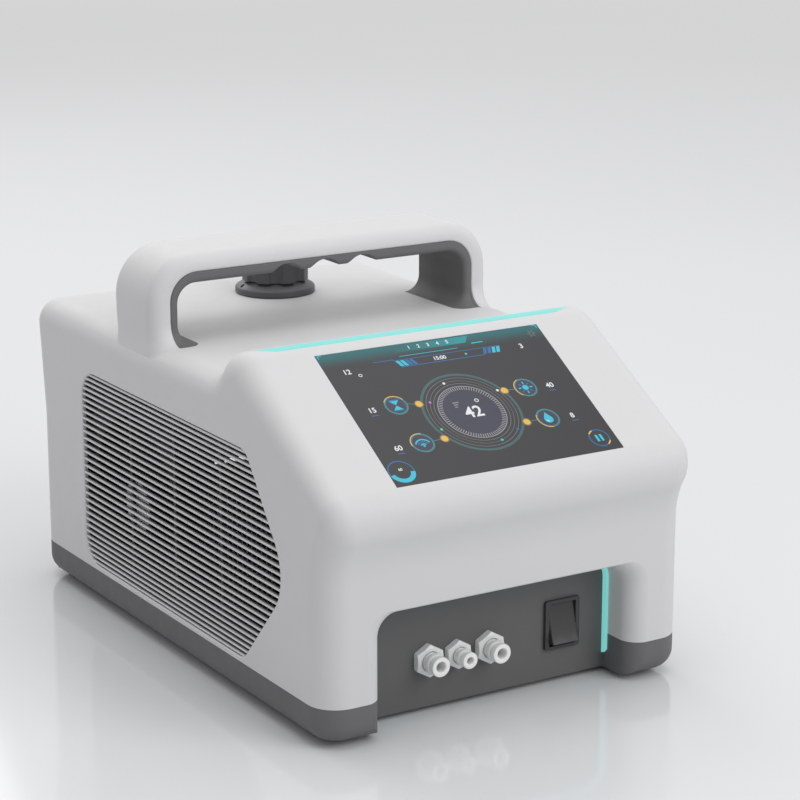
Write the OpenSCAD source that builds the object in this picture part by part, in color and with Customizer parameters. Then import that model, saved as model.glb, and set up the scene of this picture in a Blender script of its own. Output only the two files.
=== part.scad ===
/* [Body] */
// Width of the housing
body_w = 250; // [230:1:280]
// Depth of the housing from the nose to the rear wall
body_d = 392; // [385:1:430]
// Height of the flat top behind the screen
top_h = 189; // [185:1:200]
// Height of the seam between the housing and the base tray
seam_h = 25; // [22:1:28]
// Wall thickness of the housing and the tray
wall = 3; // [2.5:0.5:4]
// Radius of the upright corners at the front
front_corner_r = 18; // [14:1:28]
// Radius of the upright corners at the rear
rear_corner_r = 22; // [18:1:26]
// Radius of the long edges of the flat top
top_edge_r = 14; // [10:1:16]
// Radius of the edge between the rear wall and the flat top
rear_top_r = 16; // [15:1:20]

/* [Screen slope] */
// Angle of the screen slope
slope_angle = 31.3; // [28:0.1:33]
// Radius of the crest above the screen
crest_r = 22; // [20:1:26]
// Rise of the crest over the flat top
crest_rise = 18.5; // [16:0.5:21]
// Radius of the dip behind the crest
dip_r = 20; // [16:1:26]
// Radius of the nose below the screen
nose_r = 21.5; // [20:0.5:25]
// How far the nose stands out over the front wall
nose_out = 8.7; // [7:0.1:12]
// Radius of the hollow under the nose
under_r = 44; // [36:1:60]
// Distance from the nose to the crest's axis
nose_to_crest = 113.45; // [108:0.05:118]

/* [Display] */
// Width of the display glass
glass_w = 154; // [140:1:160]
// Height of the display glass along the slope
glass_h = 106; // [96:1:108]
// Thickness of the display glass
glass_t = 2; // [1.5:0.1:2.2]
// Distance from the crest's axis to the middle of the glass along the slope
glass_drop = 55; // [54:0.1:58]
// Thickness of the display module
lcd_t = 7; // [5:0.5:9]
// Width of the ledge that carries the glass
glass_ledge = 4; // [3:0.5:6]

/* [Lights] */
// Width of the light strip on the crest
crest_light_w = 7.8; // [5:0.1:9]
// Length of the light strip on the crest
crest_light_l = 221; // [200:1:222]
// Thickness of both light strips
light_t = 1.8; // [1.2:0.1:2.2]
// Depth of the light strip in the front arch
arch_light_w = 3.6; // [3:0.1:8]

/* [Front arch] */
// Half of the arch's width at the panel
arch_half_w = 85.4; // [80:0.1:88]
// Height of the arch
arch_h = 74.6; // [68:0.1:78]
// Radius of the arch's upper corners
arch_r = 14; // [10:1:18]
// Depth from the front wall to the panel
arch_depth = 27.7; // [25:0.1:32]
// Radius of the arch's front edge at the sides
arch_flare = 12; // [8:1:20]
// Radius of the arch's front edge at the top
arch_lip = 3; // [1:0.5:4]
// Thickness of the port panel
panel_t = 2.5; // [2:0.1:3.5]

/* [Handle] */
// Overall height of the machine
handle_top = 243.5; // [240:0.5:260]
// Distance from the front of the handle to the crest's axis
handle_from_crest = 106.2; // [100:0.1:115]
// Depth of the handle, front to back
handle_d = 56; // [48:1:60]
// Half of the liner's width over its outer faces
liner_half_w = 108.4; // [106:0.1:109.5]
// Thickness of the handle's top bar above the liner
bar_t = 10.9; // [9:0.1:13]
// Thickness of the liner on the bar
liner_bar_t = 7; // [6.5:0.1:9]
// Thickness of the liner on the legs
liner_leg_t = 5.5; // [4:0.1:7]
// Distance between the finger grooves
groove_pitch = 27.2; // [25:0.1:29]
// Depth of a finger groove
groove_depth = 5.5; // [4:0.1:5.8]
// Radius of a finger groove
groove_r = 13.75; // [13:0.05:16]
// Radius of the foot fillet in front of each leg
leg_foot_r = 14; // [8:1:16]

/* [Side grilles] */
// Height of the grille's lower edge
grille_low = 28; // [27:0.5:32]
// Height of the grille's upper edge
grille_high = 155.3; // [148:0.1:158]
// Number of slats
slat_count = 31; // [25:1:33]
// Height of one slat
slat_h = 1.9; // [1.4:0.1:2.2]
// Depth of one slat
slat_d = 3.2; // [2.6:0.1:4]
// How much wider the slats stand in the middle
slat_spread = 0.123; // [0:0.001:0.2]

/* [Filler] */
// Distance of the filler's axis from the middle plane
filler_x = 20; // [10:1:28]
// Distance of the filler's axis from the rear wall
filler_from_rear = 69; // [66:1:76]
// Bore of the filler neck
neck_bore = 40; // [36:1:42]
// Diameter of the cap's flange
cap_flange_d = 53; // [50:1:56]
// Diameter of the cap's knob over its lobes
cap_knob_d = 44.6; // [42:0.1:47]
// Height of the cap above its flange
cap_knob_h = 21; // [16:1:24]
// Number of lobes on the knob
cap_lobes = 8; // [5:1:9]

/* [Ports] */
// Distances of the three fittings from the middle plane
port_xs = [-40.7, -20.8, 1.2];
// Height of the fittings' axes
port_z = 32.3; // [30:0.1:36]
// Tube diameter of the two water ports
water_tube_d = 8; // [7:0.5:9]
// Tube diameter of the air port
air_tube_d = 6; // [5:0.5:6.5]
// How far the fittings stand out of the panel
port_out = 16; // [14:0.5:19]
// Travel of the release collars
collar_travel = 1.5; // [1:0.1:2]

/* [Power switch] */
// Distance of the switch from the middle plane
switch_x = 53.3; // [45:0.1:60]
// Height of the switch's middle
switch_z = 36.9; // [34:0.1:42]
// Width of the switch's bezel
bezel_w = 24.6; // [24:0.1:26]
// Height of the switch's bezel
bezel_h = 30.8; // [30.5:0.1:32]
// Thickness of the switch's bezel
bezel_t = 2.2; // [1.5:0.1:3]
// Half of the rocker's travel
rocker_half_angle = 13; // [8:1:13]

/* [Fans] */
// Side of a fan's square frame
fan_size = 120; // [115:1:120]
// Thickness of a fan
fan_t = 25; // [20:1:26]
// Distance of the fans' axes from the middle of the depth
fan_y = 60; // [60:1:64]
// Height of the fans' axes
fan_z = 80; // [78:1:90]
// Number of blades on a rotor
blade_count = 7; // [5:1:9]

/* [Thermal stack] */
// Length of the heat sinks, front to back
sink_l = 92; // [80:1:94]
// Height of the heat sinks
sink_h = 108; // [90:1:115]
// Reach of the heat sinks' fins from the middle plane
sink_reach = 108; // [95:1:112]
// Pitch of the heat sinks' fins
fin_pitch = 6; // [4:0.1:7]
// Half of the cold block's thickness
block_half_t = 12; // [10:0.5:13]
// Thickness of a thermoelectric module
peltier_t = 4; // [3:0.5:5]

/* [Tank and pumps] */
// Width of the water tank
tank_w = 140; // [130:1:144]
// Depth of the water tank
tank_d = 104; // [95:1:106]
// Height of the tank's floor
tank_low = 95; // [90:1:100]
// Gap between the tank and the housing's top wall
tank_gap = 14; // [10:1:18]
// Outer diameter of the water hoses
hose_d = 8; // [7:0.5:9]
// Outer diameter of the air hose
air_hose_d = 5.5; // [5:0.5:6]

/* [Hidden] */

$fn = 48;
eps = 0.01;
arc_n = 6;
foot_h = 3;
fit_gap = 0.3;
run_gap = 0.05;

half_w = body_w / 2;
// the drawing's zero lies this far in front of the middle of the depth; placed() moves it there
drawn_back = 3;
nose_y = drawn_back - body_d / 2;
rear_y = drawn_back + body_d / 2;
wall_y = nose_y + nose_out;
in_x = half_w - wall;
in_rear_y = rear_y - wall;

// side outline: centres of its arcs, worked out from the nose and the flat top
slope_n = [-sin(slope_angle), cos(slope_angle)];
slope_u = [cos(slope_angle), sin(slope_angle)];
crest_c = [nose_y + nose_to_crest, top_h + crest_rise - crest_r];
nose_cy = nose_y + nose_r;
nose_cz = crest_c[1] + (crest_r - nose_r + (nose_cy - crest_c[0]) * sin(slope_angle))
    / cos(slope_angle);
under_cy = wall_y - under_r;
under_dz = sqrt(pow(nose_r + under_r, 2) - pow(nose_cy - under_cy, 2));
under_cz = nose_cz - under_dz;
under_a = atan2(under_dz, nose_cy - under_cy);
dip_a = asin((top_h + dip_r - crest_c[1]) / (crest_r + dip_r));
dip_cy = crest_c[0] + (crest_r + dip_r) * cos(dip_a);
nose_edge_r = nose_r - 3.7;
crest_edge_r = crest_r - 6.5;
slope_edge_r = crest_edge_r - 3;

// one point of the side outline: place, outward normal and edge radius there
function rim(c, r, a, e) = [c[0] + r * cos(a), c[1] + r * sin(a), cos(a), sin(a), e];
function rim_arc(c, r, a0, a1, e0, e1, n) =
    [for (i = [0 : n]) rim(c, r, a0 + (a1 - a0) * i / n, e0 + (e1 - e0) * i / n)];
function hollow_arc(c, r, a0, a1, e0, e1, n) =
    [for (i = [0 : n]) let (a = a0 + (a1 - a0) * i / n)
        [c[0] + r * cos(a), c[1] + r * sin(a), -cos(a), -sin(a), e0 + (e1 - e0) * i / n]];

function side_outline(low) = concat(
    [[rear_y, low, 1, 0, rear_corner_r], [rear_y, top_h * 0.6, 1, 0, rear_corner_r]],
    rim_arc([rear_y - rear_top_r, top_h - rear_top_r], rear_top_r, 0, 90, top_edge_r,
        top_edge_r, 4),
    hollow_arc([dip_cy, top_h + dip_r], dip_r, 270, 180 + dip_a, top_edge_r, crest_edge_r, 4),
    rim_arc(crest_c, crest_r, dip_a + 8, 90 + slope_angle, crest_edge_r, crest_edge_r, 6),
    rim_arc([nose_cy, nose_cz], nose_r, 90 + slope_angle, 180 + under_a - 6, slope_edge_r,
        nose_edge_r, 6),
    hollow_arc([under_cy, under_cz], under_r, under_a, 0, nose_edge_r, front_corner_r, 4),
    [[wall_y, low, -1, 0, front_corner_r]]);

// the outline drawn in by w, at the station t degrees round the long edge
function station(low, w, side, t) = [for (p = side_outline(low))
    let (e = p[4] - w, d = w + e * (1 - cos(t)))
        [side * (half_w - w - e + e * sin(t)), p[0] - d * p[2], p[1] - d * p[3]]];

// skin over a list of rings with equal counts of points
module loft(rings) {
    n = len(rings[0]);
    m = len(rings);
    pts = [for (ring = rings) each ring];
    sides = [for (i = [0 : m - 2], j = [0 : n - 1]) let (k = (j + 1) % n)
        each [[i * n + j, i * n + k, (i + 1) * n + k], [i * n + j, (i + 1) * n + k, (i + 1) * n + j]]];
    cap_a = [for (j = [n - 1 : -1 : 0]) j];
    cap_b = [for (j = [0 : n - 1]) (m - 1) * n + j];
    polyhedron(points = pts, faces = concat([cap_a], sides, [cap_b]), convexity = 10);
}

function body_rings(low, w) = [
    each [for (i = [arc_n : -1 : 0]) station(low, w, 1, 90 * i / arc_n)],
    each [for (i = [0 : arc_n]) station(low, w, -1, 90 * i / arc_n)]];

// triangles from the middle point c to ring points a to a + n - 1, turned by flip
function fan(a, n, c, flip) = [for (j = [0 : n - 1]) let (k = (j + 1) % n)
    flip ? [a + k, a + j, c] : [a + j, a + k, c]];

// the housing's skin and its hollow in one piece, joined by the rim at the seam
side_mid = [crest_c[0] + 38, top_h * 0.5];
module body_shell() {
    outer = body_rings(seam_h, 0);
    inner = body_rings(seam_h, wall);
    n = len(outer[0]);
    m = len(outer);
    q = m * n;
    mids = [for (x = [half_w, -half_w, in_x, -in_x]) [x, side_mid[0], side_mid[1]]];
    skin = [for (i = [0 : m - 2], j = [0 : n - 2])
        each [[i * n + j, i * n + j + 1, (i + 1) * n + j + 1],
            [i * n + j, (i + 1) * n + j + 1, (i + 1) * n + j]]];
    rear_rim = [for (i = [0 : m - 2]) each [[i * n, (i + 1) * n, q + (i + 1) * n],
        [i * n, q + (i + 1) * n, q + i * n]]];
    front_rim = [for (i = [1 : m - 1]) each [[q + i * n + n - 1, i * n + n - 1, i * n - 1],
        [q + i * n - 1, q + i * n + n - 1, i * n - 1]]];
    z = q - n;
    side_rims = [[q, q + n - 1, n - 1], [q, n - 1, 0], [z, z + n - 1, q + z + n - 1],
        [z, q + z + n - 1, q + z]];
    polyhedron(points = concat([each [for (r = outer) each r], each [for (r = inner) each r]], mids),
        faces = concat(skin, [for (f = skin) [q + f[2], q + f[1], q + f[0]]], rear_rim, front_rim,
            side_rims, fan(0, n, 2 * q, true), fan(z, n, 2 * q + 1, false),
            fan(q, n, 2 * q + 2, false), fan(q + z, n, 2 * q + 3, true)), convexity = 10);
}

// corner points of a rounded polygon: each vertex is [x, y, radius]
function unit(v) = v / norm(v);
function round_corner(a, v, b, n) =
    let (p = [v[0], v[1]], u1 = unit([a[0], a[1]] - p), u2 = unit([b[0], b[1]] - p),
        h = acos(u1 * u2) / 2, r = v[2], c = p + unit(u1 + u2) * r / sin(h),
        d1 = p + u1 * r / tan(h) - c, d2 = p + u2 * r / tan(h) - c, f = 180 - 2 * h)
    [for (i = [0 : n]) c + (d1 * sin(f * (1 - i / n)) + d2 * sin(f * i / n)) / sin(f)];
function rounded(vs, n = 8) = [for (i = [0 : len(vs) - 1])
    each round_corner(vs[(i + len(vs) - 1) % len(vs)], vs[i], vs[(i + 1) % len(vs)], n)];

// extrude a plan drawn in (y, z) along X, or in (x, z) along Y
module along_x(x0, x1) {
    translate([x0, 0, 0]) rotate([90, 0, 90]) linear_extrude(x1 - x0) children();
}

module along_y(y0, y1) {
    translate([0, y1, 0]) rotate([90, 0, 0]) linear_extrude(y1 - y0) children();
}

module rod_x(x0, x1, r) {
    translate([x0, 0, 0]) rotate([0, 90, 0]) cylinder(h = x1 - x0, r = r);
}

module rod_y(y0, y1, r) {
    translate([0, y1, 0]) rotate([90, 0, 0]) cylinder(h = y1 - y0, r = r);
}

module box(x0, x1, y0, y1, z0, z1) {
    translate([x0, y0, z0]) cube([x1 - x0, y1 - y0, z1 - z0]);
}

// ---- front arch, cut through the housing and the tray ----
panel_y = wall_y + arch_depth;
flare_end = 72;
flare_run = 16;
// outline open at the bottom, with two rounded upper corners
function u_outline(x, low, top, r) = concat([[-x, low]],
    [for (i = [0 : arc_n]) let (a = 180 - 90 * i / arc_n)
        [-x + r + r * cos(a), top - r + r * sin(a)]],
    [for (i = [0 : arc_n]) let (a = 90 - 90 * i / arc_n)
        [x - r + r * cos(a), top - r + r * sin(a)]],
    [[x, low]]);
function arch_ring(y, side, top, low) =
    [for (p = u_outline(arch_half_w + side, low, arch_h + top, arch_r)) [p[0], y, p[1]]];

// the arch's space: straight at the panel, flared by a quarter circle at the front
module arch_solid(grow, back) {
    loft(concat(
        [arch_ring(back, grow, grow, -10)],
        [for (i = [0 : arc_n]) let (a = flare_end * i / arc_n)
            arch_ring(wall_y + arch_flare * (1 - sin(a)), grow + arch_flare * (1 - cos(a)),
                grow + arch_lip * (1 - cos(a)), -10)],
        [arch_ring(wall_y + arch_flare * (1 - sin(flare_end)) - flare_run * cos(flare_end),
            grow + arch_flare * (1 - cos(flare_end)) + flare_run * sin(flare_end),
            grow + arch_lip * (1 - cos(flare_end)) + 1, -10)]));
}

// ---- screen slope ----
module on_slope() {
    translate([0, crest_c[0] + crest_r * slope_n[0] - glass_drop * slope_u[0],
        crest_c[1] + crest_r * slope_n[1] - glass_drop * slope_u[1]])
        rotate([slope_angle, 0, 0]) children();
}

module centred(w, h, z0, z1) {
    translate([-w / 2, -h / 2, z0]) cube([w, h, z1 - z0]);
}

// ---- side grille outline in (y, z) ----
grille_rear = rear_y - 74.2;
grille_mid = 88.4;
grille_tip = nose_y + 48.2;
grille_outline = [[grille_rear, grille_high, 18], [grille_tip + 48.3, grille_high, 14],
    [grille_tip, grille_mid, 31], [grille_tip + 54.4, grille_low, 14],
    [grille_rear, grille_low, 18]];
grille_rim = 5;
function grille_grown(g) = [[grille_rear + g, grille_high + g, 18 + g],
    [grille_tip + 48.3 - g * 0.5, grille_high + g, 14 + g], [grille_tip - g * 1.28, grille_mid, 31 + g],
    [grille_tip + 54.4 - g * 0.4, grille_low - g, 14 + g], [grille_rear + g, grille_low - g, 18 + g]];
grille_in = in_x - 2.5;

// ---- filler ----
filler_y = rear_y - filler_from_rear;
neck_r = neck_bore / 2 + 3;
neck_flange_r = neck_r + 1.5;
neck_flange_t = 1.2;
gasket_t = 1.2;
cap_low = top_h + neck_flange_t + gasket_t + 2 * run_gap;

// ---- handle ----
hf_y = crest_c[0] + handle_from_crest;
hr_y = hf_y + handle_d;
liner_top = handle_top - bar_t;
liner_r = 18;
handle_r = 30;
leg_in_z = top_h - 24;
leg_draw = 3.6;
leg_draw_h = 30;
function leg_x(z) = half_w - 0.4
    - leg_draw * (1 - cos(180 * min(1, (z - leg_in_z) / leg_draw_h))) / 2;
function foot_flare(z) = z >= top_h + leg_foot_r ? 0
    : leg_foot_r - sqrt(pow(leg_foot_r, 2) - pow(min(leg_foot_r, top_h + leg_foot_r - z), 2));

// section of the handle from the inner point p to the outer point q, both in (x, z)
function handle_ring(p, q, flare) =
    let (t = norm(q - p), u = (q - p) / t, f = hf_y - flare, r = 7, s = 1.5)
    [for (c = concat(
        [for (a = [180, 270]) [s + s * cos(a), f + s + s * sin(a)]],
        [for (i = [0 : 4]) let (a = 270 + 22.5 * i)
            [t - r + r * cos(a), f + flare * (0.4 + 0.15 * i) + r + r * sin(a)]],
        [for (i = [0 : 4]) let (a = 22.5 * i) [t - r + r * cos(a), hr_y - r + r * sin(a)]],
        [for (a = [90, 180]) [s + s * cos(a), hr_y - s + s * sin(a)]]))
        [p[0] + u[0] * c[0], c[1], p[1] + u[1] * c[0]]];

leg_zs = [leg_in_z, top_h - 14, top_h - 7, top_h - 1, top_h, top_h + 0.8, top_h + 2.5, top_h + 6,
    top_h + leg_foot_r];
module handle_arch() {
    left = [for (z = leg_zs) handle_ring([-liner_half_w, z], [-leg_x(z), z], foot_flare(z))];
    right = [for (i = [len(leg_zs) - 1 : -1 : 0]) let (z = leg_zs[i])
        handle_ring([liner_half_w, z], [leg_x(z), z], foot_flare(z))];
    xo = leg_x(handle_top - handle_r);
    bend_l = [for (i = [0 : arc_n]) let (a = 180 - 90 * i / arc_n)
        handle_ring([-liner_half_w + liner_r + liner_r * cos(a), liner_top - liner_r
            + liner_r * sin(a)], [-xo + handle_r + handle_r * cos(a), handle_top - handle_r
            + handle_r * sin(a)], 0)];
    bend_r = [for (i = [0 : arc_n]) let (a = 90 - 90 * i / arc_n)
        handle_ring([liner_half_w - liner_r + liner_r * cos(a), liner_top - liner_r
            + liner_r * sin(a)], [xo - handle_r + handle_r * cos(a), handle_top - handle_r
            + handle_r * sin(a)], 0)];
    loft(concat(left, bend_l, bend_r, right));
}

// ---- screw posts that join the tray and the housing ----
post_x = half_w - 8;
post_front_y = panel_y + 7;
post_rear_y = rear_y - 19;
post_r = 6;
post_low = 10;
screw_r = 1.5;
post_places = [for (x = [-post_x, post_x], y = [post_front_y, post_rear_y]) [x, y]];

// ---- rear opening ----
rear_open = [-88, 88, 34, 150];
rear_face = in_rear_y;
rear_plate_t = 2.5;
ledge_y = rear_face - rear_plate_t;
ledge_t = 4;
ledge_w = 12;

module crest_plan() {
    // strip with pointed ends, drawn from above
    y0 = crest_c[0] - 1.15;
    hw = crest_light_w / 2;
    hl = crest_light_l / 2;
    tip = 14;
    translate([0, 0, crest_c[1]]) linear_extrude(crest_r + 5)
        polygon([[-hl, y0 + hw * 0.4], [-hl + tip, y0 - hw], [hl - tip, y0 - hw],
            [hl, y0 + hw * 0.4], [hl - tip, y0 + hw], [-hl + tip, y0 + hw]]);
}

// walls of the arch inside the housing, from its front skin back to the panel
module arch_collar(low, high) {
    intersection() {
        difference() {
            arch_solid(wall, panel_y);
            box(-half_w, half_w, wall_y - 20, rear_y, -20, low);
        }
        along_x(-half_w + 1, half_w - 1) polygon([[wall_y + 1.2, 0], [panel_y, 0],
            [panel_y, high], [wall_y + 1.2, high]]);
    }
}

module housing_shell() {
    color("gainsboro") difference() {
        union() {
            body_shell();
            arch_collar(seam_h, arch_h + 20);
            handle_arch();
            along_y(ledge_y - ledge_t, in_rear_y + 1) polygon(rear_outline(wall));
            intersection() {
                for (p = post_places) translate([p[0], p[1], post_low])
                    cylinder(h = 50, r = post_r);
                union() {
                    linear_extrude(seam_h + 1) plan(wall + 1 + fit_gap);
                    translate([0, 0, seam_h]) linear_extrude(60) plan(wall - 1);
                }
            }
        }
        arch_solid(0, panel_y + 1);
        on_slope() {
            centred(glass_w + fit_gap, glass_h + fit_gap, -glass_t, 5);
            centred(glass_w - 2 * glass_ledge, glass_h - 2 * glass_ledge, -8, 5);
        }
        difference() {
            crest_plan();
            translate([0, crest_c[0], crest_c[1]]) rod_x(-half_w, half_w, crest_r - light_t);
        }
        along_x(-half_w - 1, half_w + 1) polygon(rounded(grille_outline));
        translate([filler_x, filler_y, top_h - 10]) cylinder(h = 20, r = neck_r + fit_gap);
        along_y(ledge_y, rear_y + 1) polygon(rear_outline(0));
        along_y(ledge_y - ledge_t - 1, ledge_y + 1) polygon(rear_outline(-ledge_w));
        for (p = rear_screw_places) translate([p[0], 0, p[1]])
            rod_y(ledge_y - ledge_t - 1, ledge_y + 1, screw_r + 0.1);
        for (p = post_places) translate([p[0], p[1], post_low - 1])
            cylinder(h = 16, r = screw_r + 0.1);
    }
}

// plan outline of the housing's foot drawn in by d
module plan(d) {
    rf = front_corner_r - d;
    rr = rear_corner_r - d;
    x = half_w - d;
    translate([-x, wall_y + d + rf]) square([2 * x, body_d - nose_out - 2 * d - rf - rr]);
    translate([-x + rf, wall_y + d]) square([2 * (x - rf), rf + 1]);
    translate([-x + rr, rear_y - d - rr - 1]) square([2 * (x - rr), rr + 1]);
    for (s = [-1, 1]) {
        translate([s * (x - rf), wall_y + d + rf]) circle(r = rf);
        translate([s * (x - rr), rear_y - d - rr]) circle(r = rr);
    }
}

// section with rounded lower corners, between a and b
module tray_section(a, b) {
    translate([a, foot_h + tray_edge]) square([b - a, seam_h]);
    translate([a + tray_edge, foot_h]) square([b - a - 2 * tray_edge, seam_h]);
    for (x = [a + tray_edge, b - tray_edge]) translate([x, foot_h + tray_edge])
        circle(r = tray_edge);
}

tray_edge = 9;
tray_floor = foot_h + wall;
module tray_solid() {
    intersection() {
        translate([0, 0, foot_h]) linear_extrude(seam_h - foot_h) plan(0);
        along_x(-half_w - 1, half_w + 1) tray_section(wall_y, rear_y);
        along_y(wall_y - 1, rear_y + 1) tray_section(-half_w, half_w);
    }
}

// the arch's space below the seam: straight walls with a quarter round at the front
module arch_plan(grow) {
    hw = arch_half_w + grow;
    r = arch_flare;
    translate([-hw, wall_y - 5]) square([2 * hw, panel_y + 1 - wall_y + 5]);
    difference() {
        translate([-hw - r, wall_y - 5]) square([2 * (hw + r), r + 5]);
        for (s = [-1, 1]) translate([s * (hw + r), wall_y + r]) circle(r = r);
    }
}

module base_tray() {
    color("dimgray") difference() {
        union() {
            difference() {
                tray_solid();
                translate([0, 0, tray_floor]) linear_extrude(seam_h) plan(wall + 1);
            }
            intersection() {
                tray_solid();
                translate([0, 0, tray_floor - eps]) linear_extrude(seam_h - tray_floor + eps)
                    difference() {
                        arch_plan(wall);
                        translate([-half_w, panel_y]) square([body_w, body_d]);
                    }
            }
            for (p = post_places) translate([p[0], p[1], tray_floor - 1])
                cylinder(h = post_low - tray_floor + 1, r = post_r - 1);
        }
        translate([0, 0, -1]) linear_extrude(seam_h + 2) arch_plan(0);
        box(-panel_half_w - fit_gap, panel_half_w + fit_gap, panel_y, panel_y + panel_t + fit_gap,
            -1, seam_h + 1);
        for (p = post_places) translate([p[0], p[1], 0]) {
            cylinder(h = seam_h, r = screw_r + 0.1);
            cylinder(h = foot_h + 2.6, r = screw_r * 2 + 0.5);
        }
    }
}

function rear_outline(g) = rounded([[rear_open[0] - g, rear_open[2] - g, 12 + g],
    [rear_open[1] + g, rear_open[2] - g, 12 + g], [rear_open[1] + g, rear_open[3] + g, 12 + g],
    [rear_open[0] - g, rear_open[3] + g, 12 + g]], 6);

// plate seated on the ledge of the rear opening, with vents and the inlet's cut-out
module rear_panel() {
    color("dimgray") difference() {
        along_y(ledge_y, rear_face) polygon(rear_outline(-fit_gap / 2));
        translate([inlet_x, 0, inlet_z])
            box(-inlet_w / 2, inlet_w / 2, ledge_y - 5, rear_y, -inlet_h / 2, inlet_h / 2);
        for (i = [0 : vent_count - 1]) translate([vent_x, 0, vent_z + i * vent_pitch])
            box(-vent_w / 2, vent_w / 2, ledge_y - 5, rear_y, -1.6, 1.6);
        for (p = rear_screw_places) translate([p[0], 0, p[1]])
            rod_y(ledge_y - 5, rear_y, screw_r + 0.1);
    }
}

inlet_x = -50;
inlet_z = 68;
inlet_w = 27.6;
inlet_h = 38;
vent_x = 39;
vent_z = 56;
vent_w = 70;
vent_pitch = 8;
vent_count = 10;
rear_screw_places = [for (x = [rear_open[0] + 6, rear_open[1] - 6],
    z = [rear_open[2] + 6, rear_open[3] - 6]) [x, z]];

module inlet_socket() {
    color("black") difference() {
        union() {
            translate([inlet_x, 0, inlet_z]) {
                box(-inlet_w / 2 - 2, inlet_w / 2 + 2, rear_face, rear_face + 2.5,
                    -inlet_h / 2 - 2, inlet_h / 2 + 2);
                box(-inlet_w / 2 + 0.2, inlet_w / 2 - 0.2, rear_face - 24, rear_face + eps,
                    -inlet_h / 2 + 0.2, inlet_h / 2 - 0.2);
            }
        }
        translate([inlet_x, 0, inlet_z + 5]) along_y(rear_face - 16, rear_face + 5)
            polygon([[-12, -8], [12, -8], [12, 5], [8, 9], [-8, 9], [-12, 5]]);
        translate([inlet_x, 0, inlet_z]) box(-10.3, 10.3, rear_face - 20, rear_face + 5,
            -16.3, -7.9);
    }
    color("silver") for (x = [-7, 0, 7]) translate([inlet_x + x, 0, inlet_z + 5 + (x == 0 ? 3 : 0)])
        box(-1, 1, rear_face - 16 - eps, rear_face - 2, -2, 2);
}

module fuse_drawer() {
    color("dimgray") translate([inlet_x, 0, inlet_z]) {
        difference() {
            box(-10, 10, rear_face - 18, rear_face + 1.5, -16, -8.2);
            box(-8, 8, rear_face - 16, rear_face - 2, -14, -7);
        }
        box(-5, 5, rear_face + 1.5 - eps, rear_face + 3, -14.5, -13);
    }
}

module rear_screws() {
    color("silver") for (p = rear_screw_places) translate([p[0], 0, p[1]]) {
        rod_y(ledge_y - ledge_t - 1, rear_face, screw_r);
        difference() {
            rod_y(rear_face, rear_face + 2, 2.8);
            box(-0.4, 0.4, rear_face + 1.2, rear_face + 3, -1.8, 1.8);
            box(-1.8, 1.8, rear_face + 1.2, rear_face + 3, -0.4, 0.4);
        }
    }
}

module base_screws() {
    color("silver") for (p = post_places) translate([p[0], p[1], foot_h + 0.2]) {
        translate([0, 0, 2.4 - eps]) cylinder(h = 15, r = screw_r);
        difference() {
            cylinder(h = 2.4, r = screw_r * 2);
            translate([0, 0, -1]) box(-0.4, 0.4, -1.8, 1.8, 0, 2.2);
            translate([0, 0, -1]) box(-1.8, 1.8, -0.4, 0.4, 0, 2.2);
        }
    }
}

foot_places = [for (x = [-100, 100], y = [panel_y + 22, rear_y - 34]) [x, y]];
module rubber_feet() {
    color("black") for (p = foot_places) translate([p[0], p[1], 0]) difference() {
        union() {
            cylinder(h = 1, r1 = 9, r2 = 10);
            translate([0, 0, 1]) cylinder(h = foot_h - 1, r = 10);
        }
        translate([0, 0, -eps]) cylinder(h = 1.2, r = 3);
    }
}

// ---- handle liner ----
module liner_plan(x, top, r) {
    polygon(u_outline(x, top_h - 40, top, r));
}

module handle_liner() {
    in_half = liner_half_w - liner_leg_t;
    foot_in = 11;
    foot_front = 9.5;
    color("dimgray") {
        difference() {
            along_y(hf_y, hr_y) difference() {
                liner_plan(liner_half_w, liner_top, liner_r);
                liner_plan(in_half, liner_top - liner_bar_t, liner_r - liner_leg_t);
                for (i = [-1 : 1]) translate([i * groove_pitch, liner_top - liner_bar_t
                    + groove_depth - groove_r]) circle(r = groove_r);
            }
            box(-half_w, half_w, hf_y - 1, hr_y + 1, 0, top_h);
        }
        for (s = [-1, 1]) {
            // inner foot fillet on the flat top
            difference() {
                translate([s > 0 ? in_half - foot_in : -in_half - eps, hf_y - foot_front, top_h])
                    cube([foot_in + eps, handle_d - 0.5 + foot_front, foot_in]);
                translate([s * (in_half - foot_in), 0, top_h + foot_in])
                    rod_y(hf_y - 20, hr_y + 1, foot_in);
                translate([0, hf_y - foot_front, top_h + foot_front])
                    rod_x(-half_w, half_w, foot_front);
                box(-half_w, half_w, hf_y - 20, hf_y, top_h + foot_front, top_h + 20);
            }
            // front foot fillet below the leg
            difference() {
                translate([s > 0 ? in_half : -liner_half_w, hf_y - foot_front, top_h])
                    cube([liner_leg_t, foot_front + eps, foot_front]);
                translate([0, hf_y - foot_front, top_h + foot_front])
                    rod_x(-half_w, half_w, foot_front);
            }
        }
    }
}

module crest_light() {
    color("turquoise") intersection() {
        crest_plan();
        translate([0, crest_c[0], crest_c[1]]) difference() {
            rod_x(-half_w, half_w, crest_r);
            rod_x(-half_w - 1, half_w + 1, crest_r - light_t);
        }
    }
}

module arch_light() {
    low = 12.5;
    color("turquoise") along_y(panel_y - arch_light_w, panel_y) difference() {
        polygon(u_outline(arch_half_w, low, arch_h, arch_r));
        polygon(u_outline(arch_half_w - light_t, -10, arch_h - light_t, arch_r - light_t));
    }
}

// ---- port panel and what it carries ----
panel_half_w = arch_half_w + 5.2;
panel_top = arch_h + 6;
port_ds = [water_tube_d, air_tube_d, water_tube_d];
function stud_r(d) = d / 2 + 2.4;
function collar_r(d) = d / 2 + 0.9;
function hex_r(d) = (d + 9.4) / 2 / cos(30);

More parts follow.
